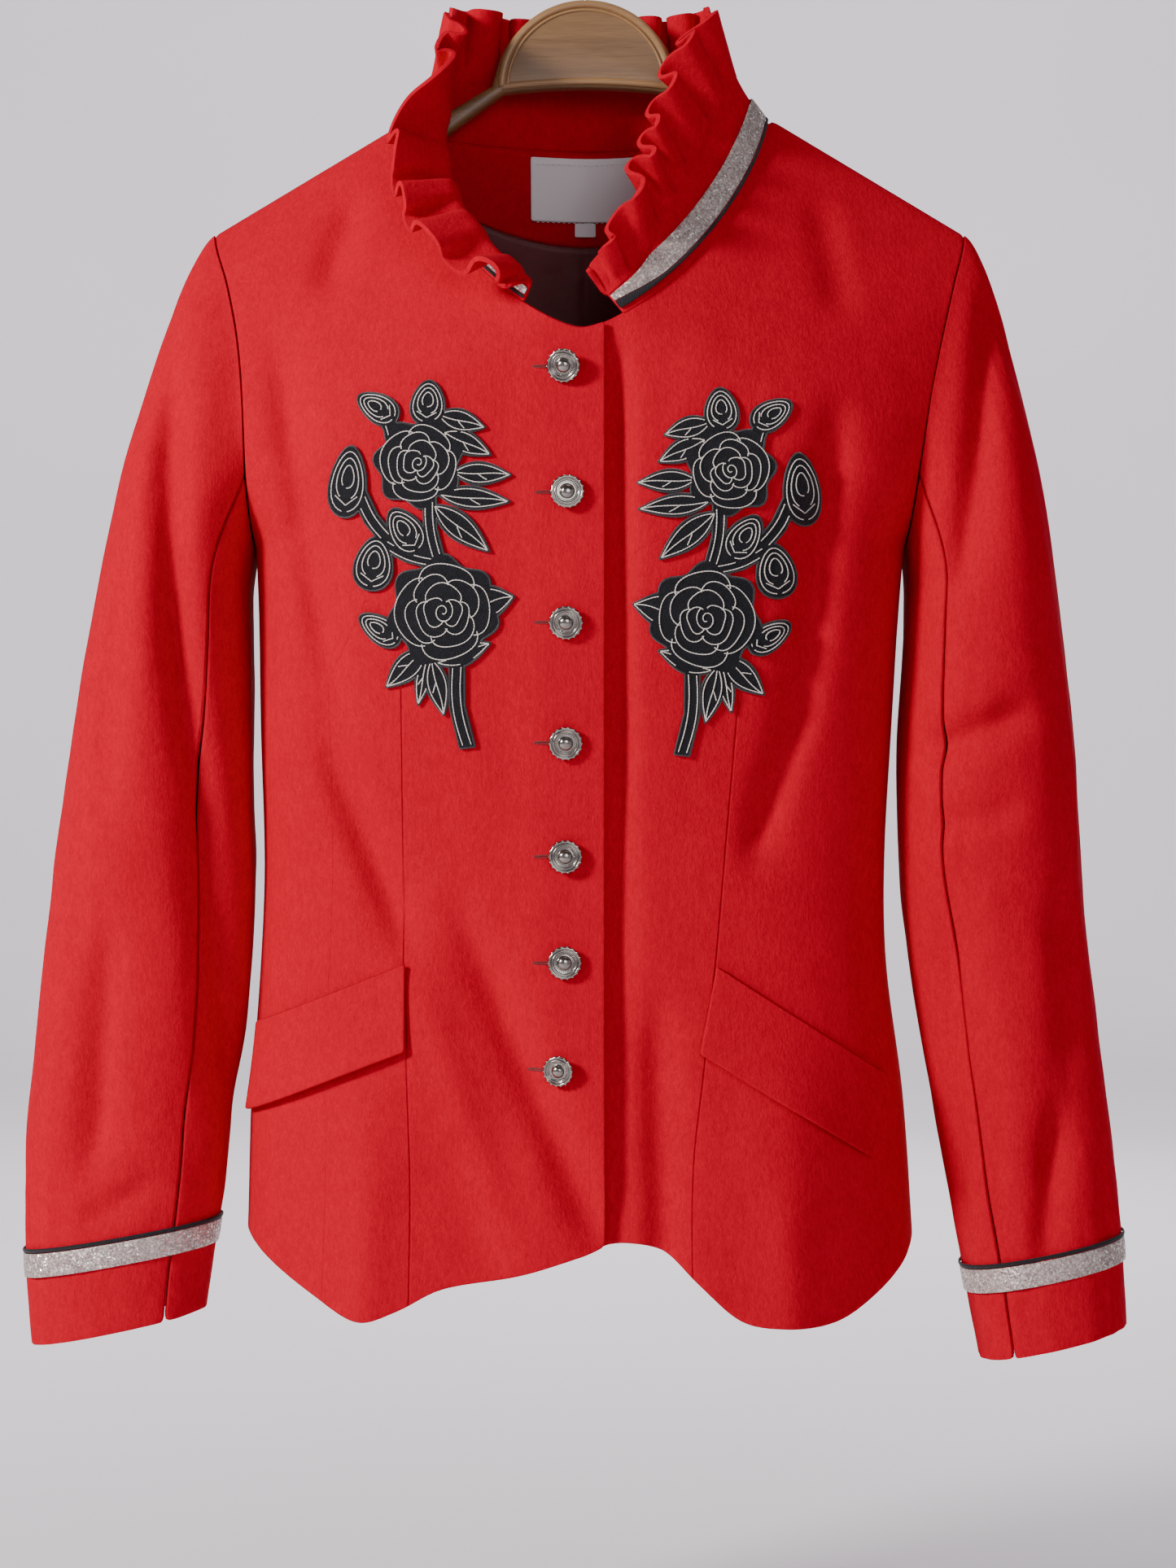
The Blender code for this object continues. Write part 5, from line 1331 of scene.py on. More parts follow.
def cloth_grid(name, columns, rows, spot, outward, materials, mark=None, kind=None):
    """Lay a flat grid on spot(p, q). mark gives the distance to a sewn line and kind a face's material."""
    bm = bmesh.new()
    seam = bm.verts.layers.float.new("seam")
    bmesh.ops.create_grid(bm, x_segments=columns, y_segments=rows, size=0.5)
    for vert in bm.verts:
        p, q = vert.co.x + 0.5, vert.co.y + 0.5
        vert.co = spot(p, q)
        vert[seam] = mark(p, q, vert.co) if mark else FAR_FROM_SEAM
    bm.normal_update()
    facing = sum(face.normal.dot(outward(face.calc_center_median())) for face in bm.faces)
    if facing < 0:
        bmesh.ops.reverse_faces(bm, faces=bm.faces)
    if kind:
        for face in bm.faces:
            face.material_index = kind(face.calc_center_median())
    return new_piece(name, bm, materials)


def spread(stops, steps):
    """Places from stop to stop, each stretch with its own number of steps."""
    places = [stops[0]]
    for start, end, count in zip(stops, stops[1:], steps):
        places += [blend(start, end, t) for t in shares(count)[1:]]
    return places


def dart_mark(point):
    """Signed distance to the front's dart, far away above its tip."""
    line = DART_LEFT if point.x < 0 else DART_RIGHT
    x = read_curve([(stop.z, stop.x) for stop in line], point.z)
    above = max(point.z - line[-1].z, 0.0)
    return copysign(abs(point.x - x) + above, point.x - x)


def torso_sheet(name, stops, steps, rows, front, outer_sign, inner_x, over, materials):
    """Cut and hang a front or the back."""
    columns = spread(stops, steps)
    tops = [column_top(column, inner_x, outer_sign, front) for column in columns]
    hem = FRONT_HEM if front else BACK_HEM
    hem_x = [column_x(column, inner_x, outer_sign, HEM_LEVEL_Z, front) for column in columns]
    low_z = [read_column(hem, "x", "z", x) for x in hem_x]
    last = len(columns) - 1
    folds = (FRONT_FOLDS if over else FRONT_FOLDS + LAP_FOLDS) if front else BACK_FOLDS

    def spot(p, q):
        i = round(p * last)
        z = blend(low_z[i], tops[i], 1.0 - (1.0 - q) ** SHEET_CROWDING)
        x = column_x(columns[i], inner_x, outer_sign, z, front)
        shift = lap_shift(x, over) if front else 0.0
        settled = soft_step((tops[i] - z) / 30.0)
        pushed_in = crease_depth(folds, x, z) * settled + cloth_drift(x, z, 1.1 * settled)
        return Vector((x, torso_y(x, z, front) + shift + pushed_in * (1 if front else -1), z))

    def mark(p, q, point):
        i = round(p * last)
        to_top = tops[i] - point.z
        to_side = abs(edge_x(point.z, -1 if point.x < 0 else 1) - abs(point.x))
        if not front:
            middle = abs(point.x) if point.z < -200 else FAR_FROM_SEAM
            return min(to_top, to_side + 0.2, middle)
        dart = dart_mark(point)
        near = min(to_top, to_side + 0.2)
        return dart if abs(dart) < near else near

    def kind(point):
        if front:
            neck_edge = neck_z(point.x, True) if abs(point.x) < 95 else shoulder_z(point.x)
            faced = abs(point.x) < FRONT_FACING_WIDTH or point.z > neck_edge - FRONT_FACING_WIDTH
        else:
            faced = point.z > FACING_LOW_Z
        hemmed = point.z < read_column(hem, "x", "z", point.x) + HEM_TURN
        return 0 if faced or hemmed else 1

    def outward(point):
        return Vector((0.0, -1.0 if front else 1.0, 0.0))

    item = cloth_grid(name, last, rows, spot, outward, materials, mark, kind)
    give_wall(item, WOOL, edge=0.9, inner_material=2)


def sleeve_sheet(name, sleeve, upper, materials):
    """Cut and hang the top or under piece of a sleeve."""
    parting = SLEEVE_SEAM_PARTING
    if upper:
        first, last, columns = -SLEEVE_SEAM_DEGREES + parting, SLEEVE_SEAM_DEGREES - parting, 60
    else:
        first, last, columns = SLEEVE_SEAM_DEGREES + parting, 360.0 - SLEEVE_SEAM_DEGREES - parting, 16
    folds = SLEEVE_FOLDS_RIGHT_OF_WEARER if sleeve[0] < 0 else SLEEVE_FOLDS_LEFT_OF_WEARER
    cap_rows, body_rows = 17, 68
    places = [SLEEVE_CAP_SHARE * (k / cap_rows) ** 1.2 for k in range(cap_rows)]
    places += [blend(SLEEVE_CAP_SHARE, 1.0, t) for t in shares(body_rows)]

    def spot(p, q):
        angle = radians(blend(first, last, p))
        v = places[round(q * (len(places) - 1))]
        point = sleeve_point(sleeve, angle, v)
        away = (point - sleeve_middle(sleeve, point.z)).normalized()
        drift = cloth_drift(point.x + 300 * sin(angle), point.z, 1.4)
        facing = soft_step(abs(sin(angle)) / 0.35)
        return point + away * (drift - crease_depth(folds, point.x, point.z) * facing) * soft_step(v / 0.12)

    def mark(p, q, point):
        v = places[round(q * (len(places) - 1))]
        across = min(p, 1.0 - p) * abs(last - first) / 360.0 * SLEEVE_GIRTH
        return min(across, v * SLEEVE_RUN)

    item = cloth_grid(name, columns, len(places) - 1, spot, from_arm(sleeve), materials, mark)
    give_wall(item, WOOL, inner_material=1)


def band_round_cuff(name, sleeve, low, width, swell, materials):
    """Lay a ribbon or braid round a sleeve, on the sleeve's own points moved out."""
    length = (SLEEVE_TOP_Z - CUFF_LEVEL_Z) / (1.0 - SLEEVE_CAP_SHARE)
    start = -SLEEVE_SEAM_DEGREES + SLEEVE_SEAM_PARTING
    turn = 360.0 - CUFF_TRIM_OPEN_DEGREES

    def spot(p, q):
        angle = radians(start + turn * p)
        v = 1.0 - (low + width * q) / length
        normal = sleeve_normal(sleeve, angle, v)
        crown = swell * (1.0 - (2.0 * q - 1.0) ** 2)
        return sleeve_point(sleeve, angle, v) + normal * (LAY_GAP + TRIM_WALL + crown)

    give_wall(cloth_grid(name, 72, 4, spot, from_arm(sleeve), materials), TRIM_WALL, edge=0.25)


def collar_sheet(name, columns, rows, from_distance, to_distance, height, wall, materials, lip=0.5):
    """Lay a strip of the collar between two distances from the neckline, its outer face at a height."""
    def spot(p, q):
        distance = blend(from_distance(p), to_distance(p), q)
        return collar_point(p, distance, height(p, q))

    give_wall(cloth_grid(name, columns, rows, spot, from_neck, materials), wall, edge=lip)


def ruffle_turn(place):
    """How far round its waves the ruffle is at a share of the way round the neckline."""
    count = RUFFLE_WAVES * place
    return 2 * pi * (count + 0.35 * sin(2.1 * count) / 2)


def ruffle_spot(place, share):
    """A point on the ruffle's outer face. Its waves lean over each other toward the free edge."""
    stand = collar_reading(place, "stand")
    turn = ruffle_turn(place)
    growth = share ** 0.9
    swayed = place - RUFFLE_SWAY * growth * sin(2 * turn) / NECKLINE_LENGTH
    swayed = min(max(swayed, 0.0), 1.0)
    flutter = 1.2 * sin(turn * 0.53 + 1.0) * share
    distance = stand - RUFFLE_TUCK + (collar_reading(place, "ruffle") + RUFFLE_TUCK) * share + flutter
    gather = 0.5 * sin(3 * turn) * (1.0 - share) * share * 4.0 + 0.35 * (1.0 - share)
    return collar_point(swayed, distance, RUFFLE_SWELL * ruffle_wave(place, share) + gather)


def make_collar(wool, silver, black):
    """Make the band, the gathered ruffle, the ribbon and the braid."""
    def stand_top(place):
        return collar_reading(place, "stand")

    def gathers(place, share):
        """Small pleats that start at the gather line."""
        pull = soft_step((share - 0.72) / 0.28)
        return 0.5 * pull * sin(ruffle_turn(place) * 2.0)

    collar_sheet("stand_collar", 130, 7, lambda place: STAND_SEAT, stand_top, gathers, WOOL, [wool])
    ruffle = cloth_grid("ruffle", RUFFLE_WAVES * 16, 12, ruffle_spot, from_neck, [wool])
    give_wall(ruffle, RUFFLE_HEM_WALL, edge=1.0)

    def ribbon_low(place):
        return braid_high(place) + TRIM_PARTING

    def ribbon_high(place):
        return min(ribbon_low(place) + COLLAR_RIBBON_WIDTH, stand_top(place) - COLLAR_RIBBON_HEADROOM)

    def ribbon_height(place, share):
        return COLLAR_RIBBON_GAP + TRIM_WALL + 0.25 * sin(pi * share)

    def braid_low(place):
        return COLLAR_TRIM_FOOT

    def braid_high(place):
        return COLLAR_TRIM_FOOT + braid_width(place)

    collar_sheet("neck_ribbon", 150, 4, ribbon_low, ribbon_high, ribbon_height, TRIM_WALL, [silver], 0.25)
    collar_sheet("neck_braid", 150, 4, braid_low, braid_high, ribbon_height, TRIM_WALL, [black], 0.3)


def flap_sheet(name, corners, wool):
    """Lay a pocket flap on the front, its free edge a little further out."""
    def spot(p, q):
        place = flap_spot(corners, p, 1.0 - q)
        edge = edge_x(place.y, -1 if place.x < 0 else 1) * 0.99
        x = min(max(place.x, -edge), edge)
        droop = (1.0 - q) ** 2
        bow = 0.9 * sin(pi * p) * (1.0 - q)
        lift = FLAP_GAP + WOOL + FLAP_TIP_LIFT * droop + bow
        return front_point(x, place.y) + front_normal(x, place.y) * lift

    def mark(p, q, point):
        return (1.0 - q) * 40.0 + 0.3

    give_wall(cloth_grid(name, 34, 18, spot, forward, [wool], mark), WOOL, edge=0.7)


def surface_tree(name):
    """A search tree over the shown faces of a piece."""
    shown = bpy.data.objects[name].evaluated_get(bpy.context.evaluated_depsgraph_get())
    mesh_data = shown.to_mesh()
    points = [vert.co.copy() for vert in mesh_data.vertices]
    tree = BVHTree.FromPolygons(points, [face.vertices[:] for face in mesh_data.polygons])
    shown.to_mesh_clear()
    return tree


def lay_on(tree, x, z, height):
    """A point on the front seen from ahead at a place in millimetres, lifted off the cloth by a height."""
    found, normal = tree.ray_cast(Vector((x * MM, -1.0, z * MM)), Vector((0.0, 1.0, 0.0)))[:2]
    if found is None:
        return front_point(x, z) + front_normal(x, z) * height
    return found / MM + normal * height


def rose_lines(piece):
    """Petal lines of a rose: broken rings that dive inward at their ends, and a coil in the middle."""
    lines = []
    for arc in ROSE_ARCS:
        line = []
        for t in shares(max(int(abs(arc.finish - arc.start) / 5), 4)):
            angle = radians(blend(arc.start, arc.finish, t))
            tuck = 0.13 * abs(2 * t - 1) ** 5
            wobble = 0.018 * sin(5 * angle + 4 * arc.radius)
            radius = piece.length / 2 * (arc.radius + arc.bulge * sin(pi * t) - tuck + wobble)
            line.append((radius * sin(angle), radius * cos(angle)))
        lines.append(line)
    coil = []
    for k in range(46):
        angle = radians(k * 12 + 30)
        radius = piece.length / 2 * blend(0.24, 0.03, k / 45)
        coil.append((radius * 0.85 * sin(angle), radius * cos(angle)))
    lines.append(coil)
    return lines


def bud_lines(piece):
    """Lines of a bud: its edge, a folded petal inside it and a small curl."""
    def ring(share, start, finish, drop):
        line = []
        for t in shares(30):
            angle = radians(blend(start, finish, t))
            narrow = 1.0 - 0.22 * cos(angle)
            x = piece.width / 2 * share * narrow * sin(angle)
            line.append((x, piece.length / 2 * (share * cos(angle) - drop)))
        return line
    return [ring(0.84, -170, 175, 0.0), ring(0.58, -150, 160, -0.08), ring(0.32, -140, 190, -0.14),
            [(piece.width * x, piece.length * z) for x, z in ((-0.3, -0.2), (0.0, -0.33), (0.3, -0.2))]]


def leaf_lines(piece):
    """Lines of a leaf: its edge, midrib and a side vein."""
    width, length = piece.width, piece.length

    def side(share):
        half = share * width / 2
        return [(half * sin(pi * t ** 0.85), length * (t - 0.5) * 0.94) for t in shares(16)]

    rib = [(width * 0.04 * sin(6 * t), length * (t - 0.5) * 0.9) for t in shares(12)]
    vein = [(width * 0.27 * t, length * (0.17 * t ** 1.3 - 0.08)) for t in shares(5)]
    return [side(0.78), side(-0.78), rib, vein]


def stem_lines(piece):
    """Two lines along a stem."""
    half = piece.length / 2 - 1.0
    bow = [(piece.length * 0.06 * sin(pi * t), blend(-half, half, t)) for t in shares(12)]
    return [[(piece.width * offset + x, z) for x, z in bow] for offset in (-0.28, 0.28)]


OUTLINES = {"rose": rose_outline, "bud": bud_outline, "leaf": leaf_outline, "stem": stem_outline}
PIECE_LINES = {"rose": rose_lines, "bud": bud_lines, "leaf": leaf_lines, "stem": stem_lines}


def even_line(points, step):
    """Walk along a line and put down a point every step."""
    places = [Vector(point) for point in points]
    walked = [places[0]]
    left = step
    for start, end in zip(places, places[1:]):
        length = (end - start).length
        gone = 0.0
        while length - gone >= left:
            gone += left
            walked.append(start.lerp(end, gone / length))
            left = step
        left -= length - gone
    return walked


def round_curve(name, lines, radius, material, facets=1, closed=False, pitch=None):
    """Draw lines of points, in millimetres, as wire, or as thread that swells with every stitch."""
    curve = bpy.data.curves.new(name, "CURVE")
    curve.dimensions = "3D"
    curve.bevel_depth = radius * MM
    curve.bevel_resolution = facets
    curve.use_fill_caps = not closed
    for line in lines:
        spline = curve.splines.new("POLY")
        spline.points.add(len(line) - 1)
        spline.use_cyclic_u = closed
        run = 0.0
        for k, place in enumerate(line):
            run += (place - line[max(k - 1, 0)]).length
            spline.points[k].co = (*(place * MM), 1.0)
            if pitch:
                spline.points[k].radius = 0.86 + 0.2 * sin(2 * pi * run / pitch)
    return place_piece(name, curve, [material])


def spray_sheet():
    """The joined outlines of a spray as one flat bmesh of triangles, fine enough to bend."""
    points = []
    loops = []
    for piece in SPRAY:
        outline = spray_outline(piece)
        loops.append(list(range(len(points), len(points) + len(outline))))
        points.extend(outline)
    steps = int(2 * SPRAY_REACH / SPRAY_GRID)
    for i in range(steps + 1):
        for j in range(steps + 1):
            points.append(Vector((-SPRAY_REACH + i * SPRAY_GRID, -SPRAY_REACH + j * SPRAY_GRID)))
    flat_points, edges, triangles = delaunay_2d_cdt(points, [], loops, 1, 0.05)[:3]
    bm = bmesh.new()
    used = sorted({index for triangle in triangles for index in triangle})
    verts = {index: bm.verts.new((*flat_points[index], 0.0)) for index in used}
    for triangle in triangles:
        bm.faces.new([verts[index] for index in triangle])
    return bm


def border_loops(bm):
    """Closed lines of points along the open edges of a flat bmesh."""
    following = {}
    for edge in bm.edges:
        if edge.is_boundary:
            loop = edge.link_loops[0]
            following[loop.vert] = loop.link_loop_next.vert
    loops = []
    while following:
        start, step = following.popitem()
        line = [start, step]
        while step in following:
            step = following.pop(step)
            line.append(step)
        if len(line) > 8:
            loops.append([vert.co.copy() for vert in line])
    return loops


def lies_inside(place, outline):
    """Whether a flat place lies inside an outline."""
    inside = False
    for start, end in zip(outline, outline[1:] + outline[:1]):
        if (start.y > place.y) != (end.y > place.y):
            crossing = start.x + (place.y - start.y) * (end.x - start.x) / (end.y - start.y)
            inside = inside != (place.x < crossing)
    return inside


def shown_parts(line, above):
    """Cut a line where other pieces of the spray lie over it."""
    parts = [[]]
    for place in line:
        if any(lies_inside(place, outline) for outline in above):
            parts.append([])
        else:
            parts[-1].append(place)
    return [part for part in parts if len(part) > 3]


def make_spray(name, node, origin, mirror, tree, felt, thread, edge_thread):
    """Lay a flower spray on the front: its ground, its raised border and its outline stitches."""
    bm = spray_sheet()
    bmesh.ops.recalc_face_normals(bm, faces=bm.faces)
    borders = border_loops(bm)

    def put(x, z, height):
        return lay_on(tree, origin.x + x * mirror, origin.z + z, height)

    lifted = set(extrude(bm))
    for vert in bm.verts:
        puff = 0.2 * noise.noise(Vector((vert.co.x / 9.0, vert.co.y / 9.0, 2.0)))
        height = LAY_GAP + (APPLIQUE_WALL + puff if vert in lifted else 0.0)
        vert.co = put(vert.co.x, vert.co.y, height)
    bmesh.ops.recalc_face_normals(bm, faces=bm.faces)
    stand_for(new_piece(name + "_ground", bm, [felt], 50.0), "black_applique", node)
    top = LAY_GAP + APPLIQUE_WALL
    cords = []
    for line in borders:
        flat = even_line([(co.x, co.y) for co in line] + [(line[0].x, line[0].y)], 0.6)
        cords.append([put(place.x, place.y, top - 0.35) for place in flat])
    border = round_curve(name + "_border", cords, 0.75, edge_thread, closed=True, pitch=1.3)
    lines = []
    for number, piece in enumerate(SPRAY):
        above = [spray_outline(other) for other in SPRAY[:number]]
        for line in PIECE_LINES[piece.kind](piece):
            flat = even_line(in_spray(piece, line), 0.5)
            for part in shown_parts(flat, above):
                lines.append([put(place.x, place.y, top + 0.2) for place in part])
    stitches = round_curve(name + "_stitches", lines, 0.36, thread, pitch=1.7)
    stand_for(border, "black_applique")
    stand_for(stitches, "black_applique")


def add_beads(bm, count, ring, bead, height, squash=1.0):
    """Set a ring of small round beads."""
    for angle in round_steps(count):
        place = Matrix.Translation((ring * cos(angle), ring * sin(angle), height))
        shape = place @ Matrix.Diagonal((1.0, 1.0, squash, 1.0))
        bmesh.ops.create_icosphere(bm, subdivisions=2, radius=bead, matrix=shape)


def button_polish(place):
    """How polished the metal is at a share of the radius: the two ridges most and the dome a little. The
    dome's middling value also paints a dark reflection into its colour.
    """
    if place < 0.4:
        # Painted reflection: the dome is kept darker than its polish alone would make it.
        return 0.42
    ridge = 0.7 if place < 0.785 else 0.87
    return max(0.0, 0.85 - abs(place - ridge) / 0.05) if place > 0.64 else 0.0


def make_button(name, row, metal):
    """Turn a button, scallop its rim, bead it and seat it as it leans."""
    bm = bmesh.new()
    raised = bm.verts.layers.float.new("raised")
    radius = row.size / 2
    turn_section(bm, [(share * radius, height) for share, height in BUTTON_SECTION], BUTTON_TURN_STEPS)
    for vert in bm.verts:
        place = hypot(vert.co.x, vert.co.y) / radius
        angle = atan2(vert.co.y, vert.co.x)
        if place > 0.83:
            scallop = 1.0 - 0.035 * (0.5 - 0.5 * cos(BUTTON_SCALLOPS * angle))
            vert.co.x *= scallop
            vert.co.y *= scallop
        vert[raised] = button_polish(place)
    shanks = set(bm.verts)
    add_beads(bm, BUTTON_SCALLOPS, radius * 0.93, 0.62, 2.7, 0.8)
    add_beads(bm, BUTTON_PEARLS, radius * 0.545, 0.34, 2.6)
    for vert in bm.verts:
        if vert not in shanks:
            vert[raised] = 0.9
    normal = front_normal(row.x, row.z)
    facing = normal.to_track_quat("Z", "Y").to_matrix().to_4x4()
    lean = Matrix.Rotation(radians(row.lean), 4, "Y") @ Matrix.Rotation(radians(row.nod), 4, "X")
    tilt = row.size / 2 * sin(radians(max(abs(row.lean), abs(row.nod))))
    seat = front_point(row.x, row.z) + normal * (BUTTON_SEAT_GAP + tilt * BUTTON_TILT_SHARE)
    bmesh.ops.transform(bm, matrix=Matrix.Translation(seat) @ facing @ lean, verts=bm.verts)
    stand_for(new_piece("metal_" + name, bm, [metal]), "antique_metal", name)


def buttonhole_lines(row, tree):
    """The worked edge of a buttonhole: a long narrow ring that ends behind its button."""
    middle_x = row.x - BUTTONHOLE_LENGTH / 2 + 2.0
    ring = []
    for t in shares(60):
        angle = 2 * pi * t
        x = middle_x + BUTTONHOLE_LENGTH / 2 * copysign(abs(cos(angle)) ** 0.6, cos(angle))
        ring.append((x, row.z + 0.6 * sin(angle)))
    return [lay_on(tree, place.x, place.y, 0.1) for place in even_line(ring, 0.35)]


def inside_sheet(name, columns, rows, spot, depth, wall, materials):
    """Lay a thin sheet inside the back, at a depth from the back's outer face."""
    def lie(p, q):
        x, z, rise = spot(p, q)
        places = [back_inside(x + offset, z, depth + rise + wall) for offset in MIDDLE_SMOOTHING]
        return Vector((x, sum(place.y for place in places) / len(places), z))

    give_wall(cloth_grid(name, columns, rows, lie, forward, materials), wall, edge=0.0)


def make_inside(wool, satin, woven, white_thread):
    """Make the facing, the lining, the bare label and the bare size tab inside the neck."""
    label_depth = FACING_DEPTH + FACING_WALL + LABEL_GAP
    thread_depth = label_depth + LABEL_WALL + 0.35

    def facing_low(x):
        return FACING_LOW_Z + FACING_SIDE_RISE * (abs(x) / FACING_HALF_WIDTH) ** 2

    def facing(p, q):
        x = blend(-FACING_HALF_WIDTH, FACING_HALF_WIDTH, p)
        return x, blend(facing_low(x), neck_z(x, False) - 2.5, q), 0.0

    def lining(p, q):
        x = blend(-LINING_HALF_WIDTH, LINING_HALF_WIDTH, p)
        held_x = min(max(x, -FACING_HALF_WIDTH), FACING_HALF_WIDTH)
        open_out = 1.0 + 1.4 * (1.0 - q)
        fold = x / (PLEAT_WIDTH * open_out * 0.8)
        pleat = PLEAT_RISE * exp(-fold * fold) * (1.0 - 0.9 * exp(-(fold * 3.0) ** 2))
        ripple = 0.5 * sin(x / 7.0 + 2.0 * q) * (1.0 - q)
        return x, blend(LINING_LOW_Z, facing_low(held_x) - SEAM_GAP, q), pleat + ripple * 0.6

    def label(p, q):
        x = blend(LABEL_LEFT_X, LABEL_RIGHT_X, p)
        curl = 0.5 * (2 * p - 1) ** 4 + 0.35 * (1.0 - q) ** 3
        return x, blend(LABEL_TOP_Z - LABEL_HEIGHT, LABEL_TOP_Z, q), curl

    def tab(p, q):
        x = TAB_LEFT_X + TAB_WIDTH * p
        z = LABEL_TOP_Z - LABEL_HEIGHT - SEAM_GAP
        return x, blend(z - TAB_HEIGHT, z, q), 0.5 * (1.0 - q) ** 2

    inside_sheet("neck_facing", 50, 12, facing, FACING_DEPTH, FACING_WALL, [wool])
    inside_sheet("satin_lining", 60, 16, lining, LINING_DEPTH, FACING_WALL, [satin])
    inside_sheet("bare_label", 30, 16, label, label_depth, LABEL_WALL, [woven])
    inside_sheet("bare_tab", 8, 6, tab, label_depth, LABEL_WALL, [woven])
    tacks = []
    for edge_z in (LABEL_TOP_Z - 1.5, LABEL_TOP_Z - LABEL_HEIGHT + 1.5):
        x = LABEL_LEFT_X + 2.0
        while x < LABEL_RIGHT_X - 3.5:
            tacks.append([back_inside(x + k * 0.5, edge_z, thread_depth) for k in range(4)])
            x += 3.0
    stand_for(round_curve("label_stitches", tacks, 0.22, white_thread, pitch=9.0), "label_cloth")


def make_hanger_body(wood):
    """Saw the plate and the arms as one board and round its edges."""
    arc_foot_z = arm_top_z(PLATE_HALF_WIDTH)
    arc = [point for point in plate_arc(PLATE_HALF_WIDTH, PLATE_RISE) if point[1] > arc_foot_z]
    end = ARM_END_X
    foot_z = arc_foot_z - 2.0
    arm_end = [
        (-end + 10.0, arm_top_z(-end) - ARM_HEIGHT + 6.0), (-end + 3.5, arm_top_z(-end) - ARM_HEIGHT * 0.8),
        (-end, arm_top_z(-end) - ARM_HEIGHT * 0.6), (-end + 0.6, arm_top_z(-end) - 6.0),
        (-end + 2.6, arm_top_z(-end + 2.6) - 1.8), (-end + 7.0, arm_top_z(-end + 7.0)),
    ]
    left = arm_end + [(-PLATE_HALF_WIDTH - 1.0, arm_top_z(-PLATE_HALF_WIDTH - 1.0))]
    right = [(-x, arm_top_z(-x) - arm_top_z(x) + z) for x, z in reversed(left)]
    under = []
    for t in shares(12):
        x = blend(PLATE_HALF_WIDTH - 6.0, -PLATE_HALF_WIDTH + 6.0, t)
        under.append((x, PLATE_FOOT_Z + PLATE_FOOT_ARCH * (1.0 - (x / (PLATE_HALF_WIDTH - 6.0)) ** 2)))
    low = [(PLATE_HALF_WIDTH + 16.0, foot_z - ARM_HEIGHT + 2.0)] + under
    low.append((-PLATE_HALF_WIDTH - 16.0, foot_z - ARM_HEIGHT + 2.0))
    bm = bmesh.new()
    half = HANGER_THICKNESS / 2
    bm.faces.new([bm.verts.new((x, -half, z)) for x, z in left + arc + right + low])
    for vert in extrude(bm):
        vert.co.y = half
    bmesh.ops.recalc_face_normals(bm, faces=bm.faces)
    rims = [edge for edge in bm.edges if abs(edge.verts[0].co.y - edge.verts[1].co.y) < 0.01]
    bmesh.ops.bevel(
        bm, geom=rims, offset=3.2, segments=5, profile=0.5, affect="EDGES", material=-1, clamp_overlap=True,
    )
    stand_for(new_piece("wooden_hanger", bm, [wood], 35.0), "hanger_wood", "hanger_body")


def plate_bead(bm, inset, width, rise, steps=64):
    """Add one round moulding that follows the plate's arc, closed at both feet."""
    rings = []
    for angle in [pi * t for t in shares(steps)]:
        ring = []
        for turn in [pi * t for t in shares(8)]:
            across = inset + width / 2 - width / 2 * cos(turn)
            out = rise * sin(turn)
            reach_x = PLATE_HALF_WIDTH - across
            reach_z = PLATE_RISE - across
            place = (reach_x * cos(angle), -HANGER_THICKNESS / 2 + 0.3 - out)
            ring.append(bm.verts.new((*place, PLATE_FOOT_Z + RIM_FOOT_RISE + reach_z * sin(angle))))
        rings.append(ring)
    for near, far in zip(rings, rings[1:]):
        for m in range(8):
            bm.faces.new((near[m], near[m + 1], far[m + 1], far[m]))
        bm.faces.new((near[8], near[0], far[0], far[8]))
    bm.faces.new(rings[0])
    bm.faces.new(rings[-1])


def make_hanger_rim(pale_wood):
    """Turn the two mouldings round the plate and the pale lip along its foot, in a paler copy of the wood
    that is painted highlight.
    """
    bm = bmesh.new()
    plate_bead(bm, RIM_INSET, RIM_WIDTH - 2.1, RIM_HEIGHT + 0.5)
    plate_bead(bm, RIM_INSET + RIM_WIDTH - 1.8, 1.8, RIM_HEIGHT)
    bmesh.ops.recalc_face_normals(bm, faces=bm.faces)
    stand_for(new_piece("plate_moulding", bm, [pale_wood]), "hanger_wood", "hanger_rim")
    bm = bmesh.new()
    profile = []
    for turn in round_steps(12):
        y = -HANGER_THICKNESS / 2 + 0.2 + 1.3 * sin(turn)
        profile.append(bm.verts.new((0.0, y, 1.9 * cos(turn))))
    bm.faces.new(profile)
    for vert in extrude(bm):
        vert.co.x = 1.0
    lengthwise = [edge for edge in bm.edges if abs(edge.verts[0].co.x - edge.verts[1].co.x) > 0.5]
    bmesh.ops.subdivide_edges(bm, edges=lengthwise, cuts=23)
    reach = PLATE_HALF_WIDTH - 5.0
    for vert in bm.verts:
        x = blend(-reach, reach, vert.co.x)
        vert.co.z += PLATE_FOOT_Z + 3.4 + PLATE_FOOT_ARCH * (1.0 - (x / reach) ** 2)
        vert.co.x = x
    bmesh.ops.recalc_face_normals(bm, faces=bm.faces)
    stand_for(new_piece("plate_lip", bm, [pale_wood], 50.0), "hanger_wood")


def make_hanger_hook(steel):
    """Bend the hook from wire."""
    hook = round_curve("wire_hook", [hook_route()], HOOK_WIRE, steel, facets=5)
    stand_for(hook, "hook_steel", "hanger_hook")


def add_soft_light(name, place, target, size, power, colour):
    """Hang one soft square light."""
    lamp = bpy.data.lights.new(name, "AREA")
    lamp.shape = "SQUARE"
    lamp.size = size
    lamp.energy = power
    lamp.color = colour
    item = link_object(name, lamp)
    item.location = place
    item.rotation_euler = (Vector(target) - Vector(place)).to_track_quat("-Z", "Y").to_euler()


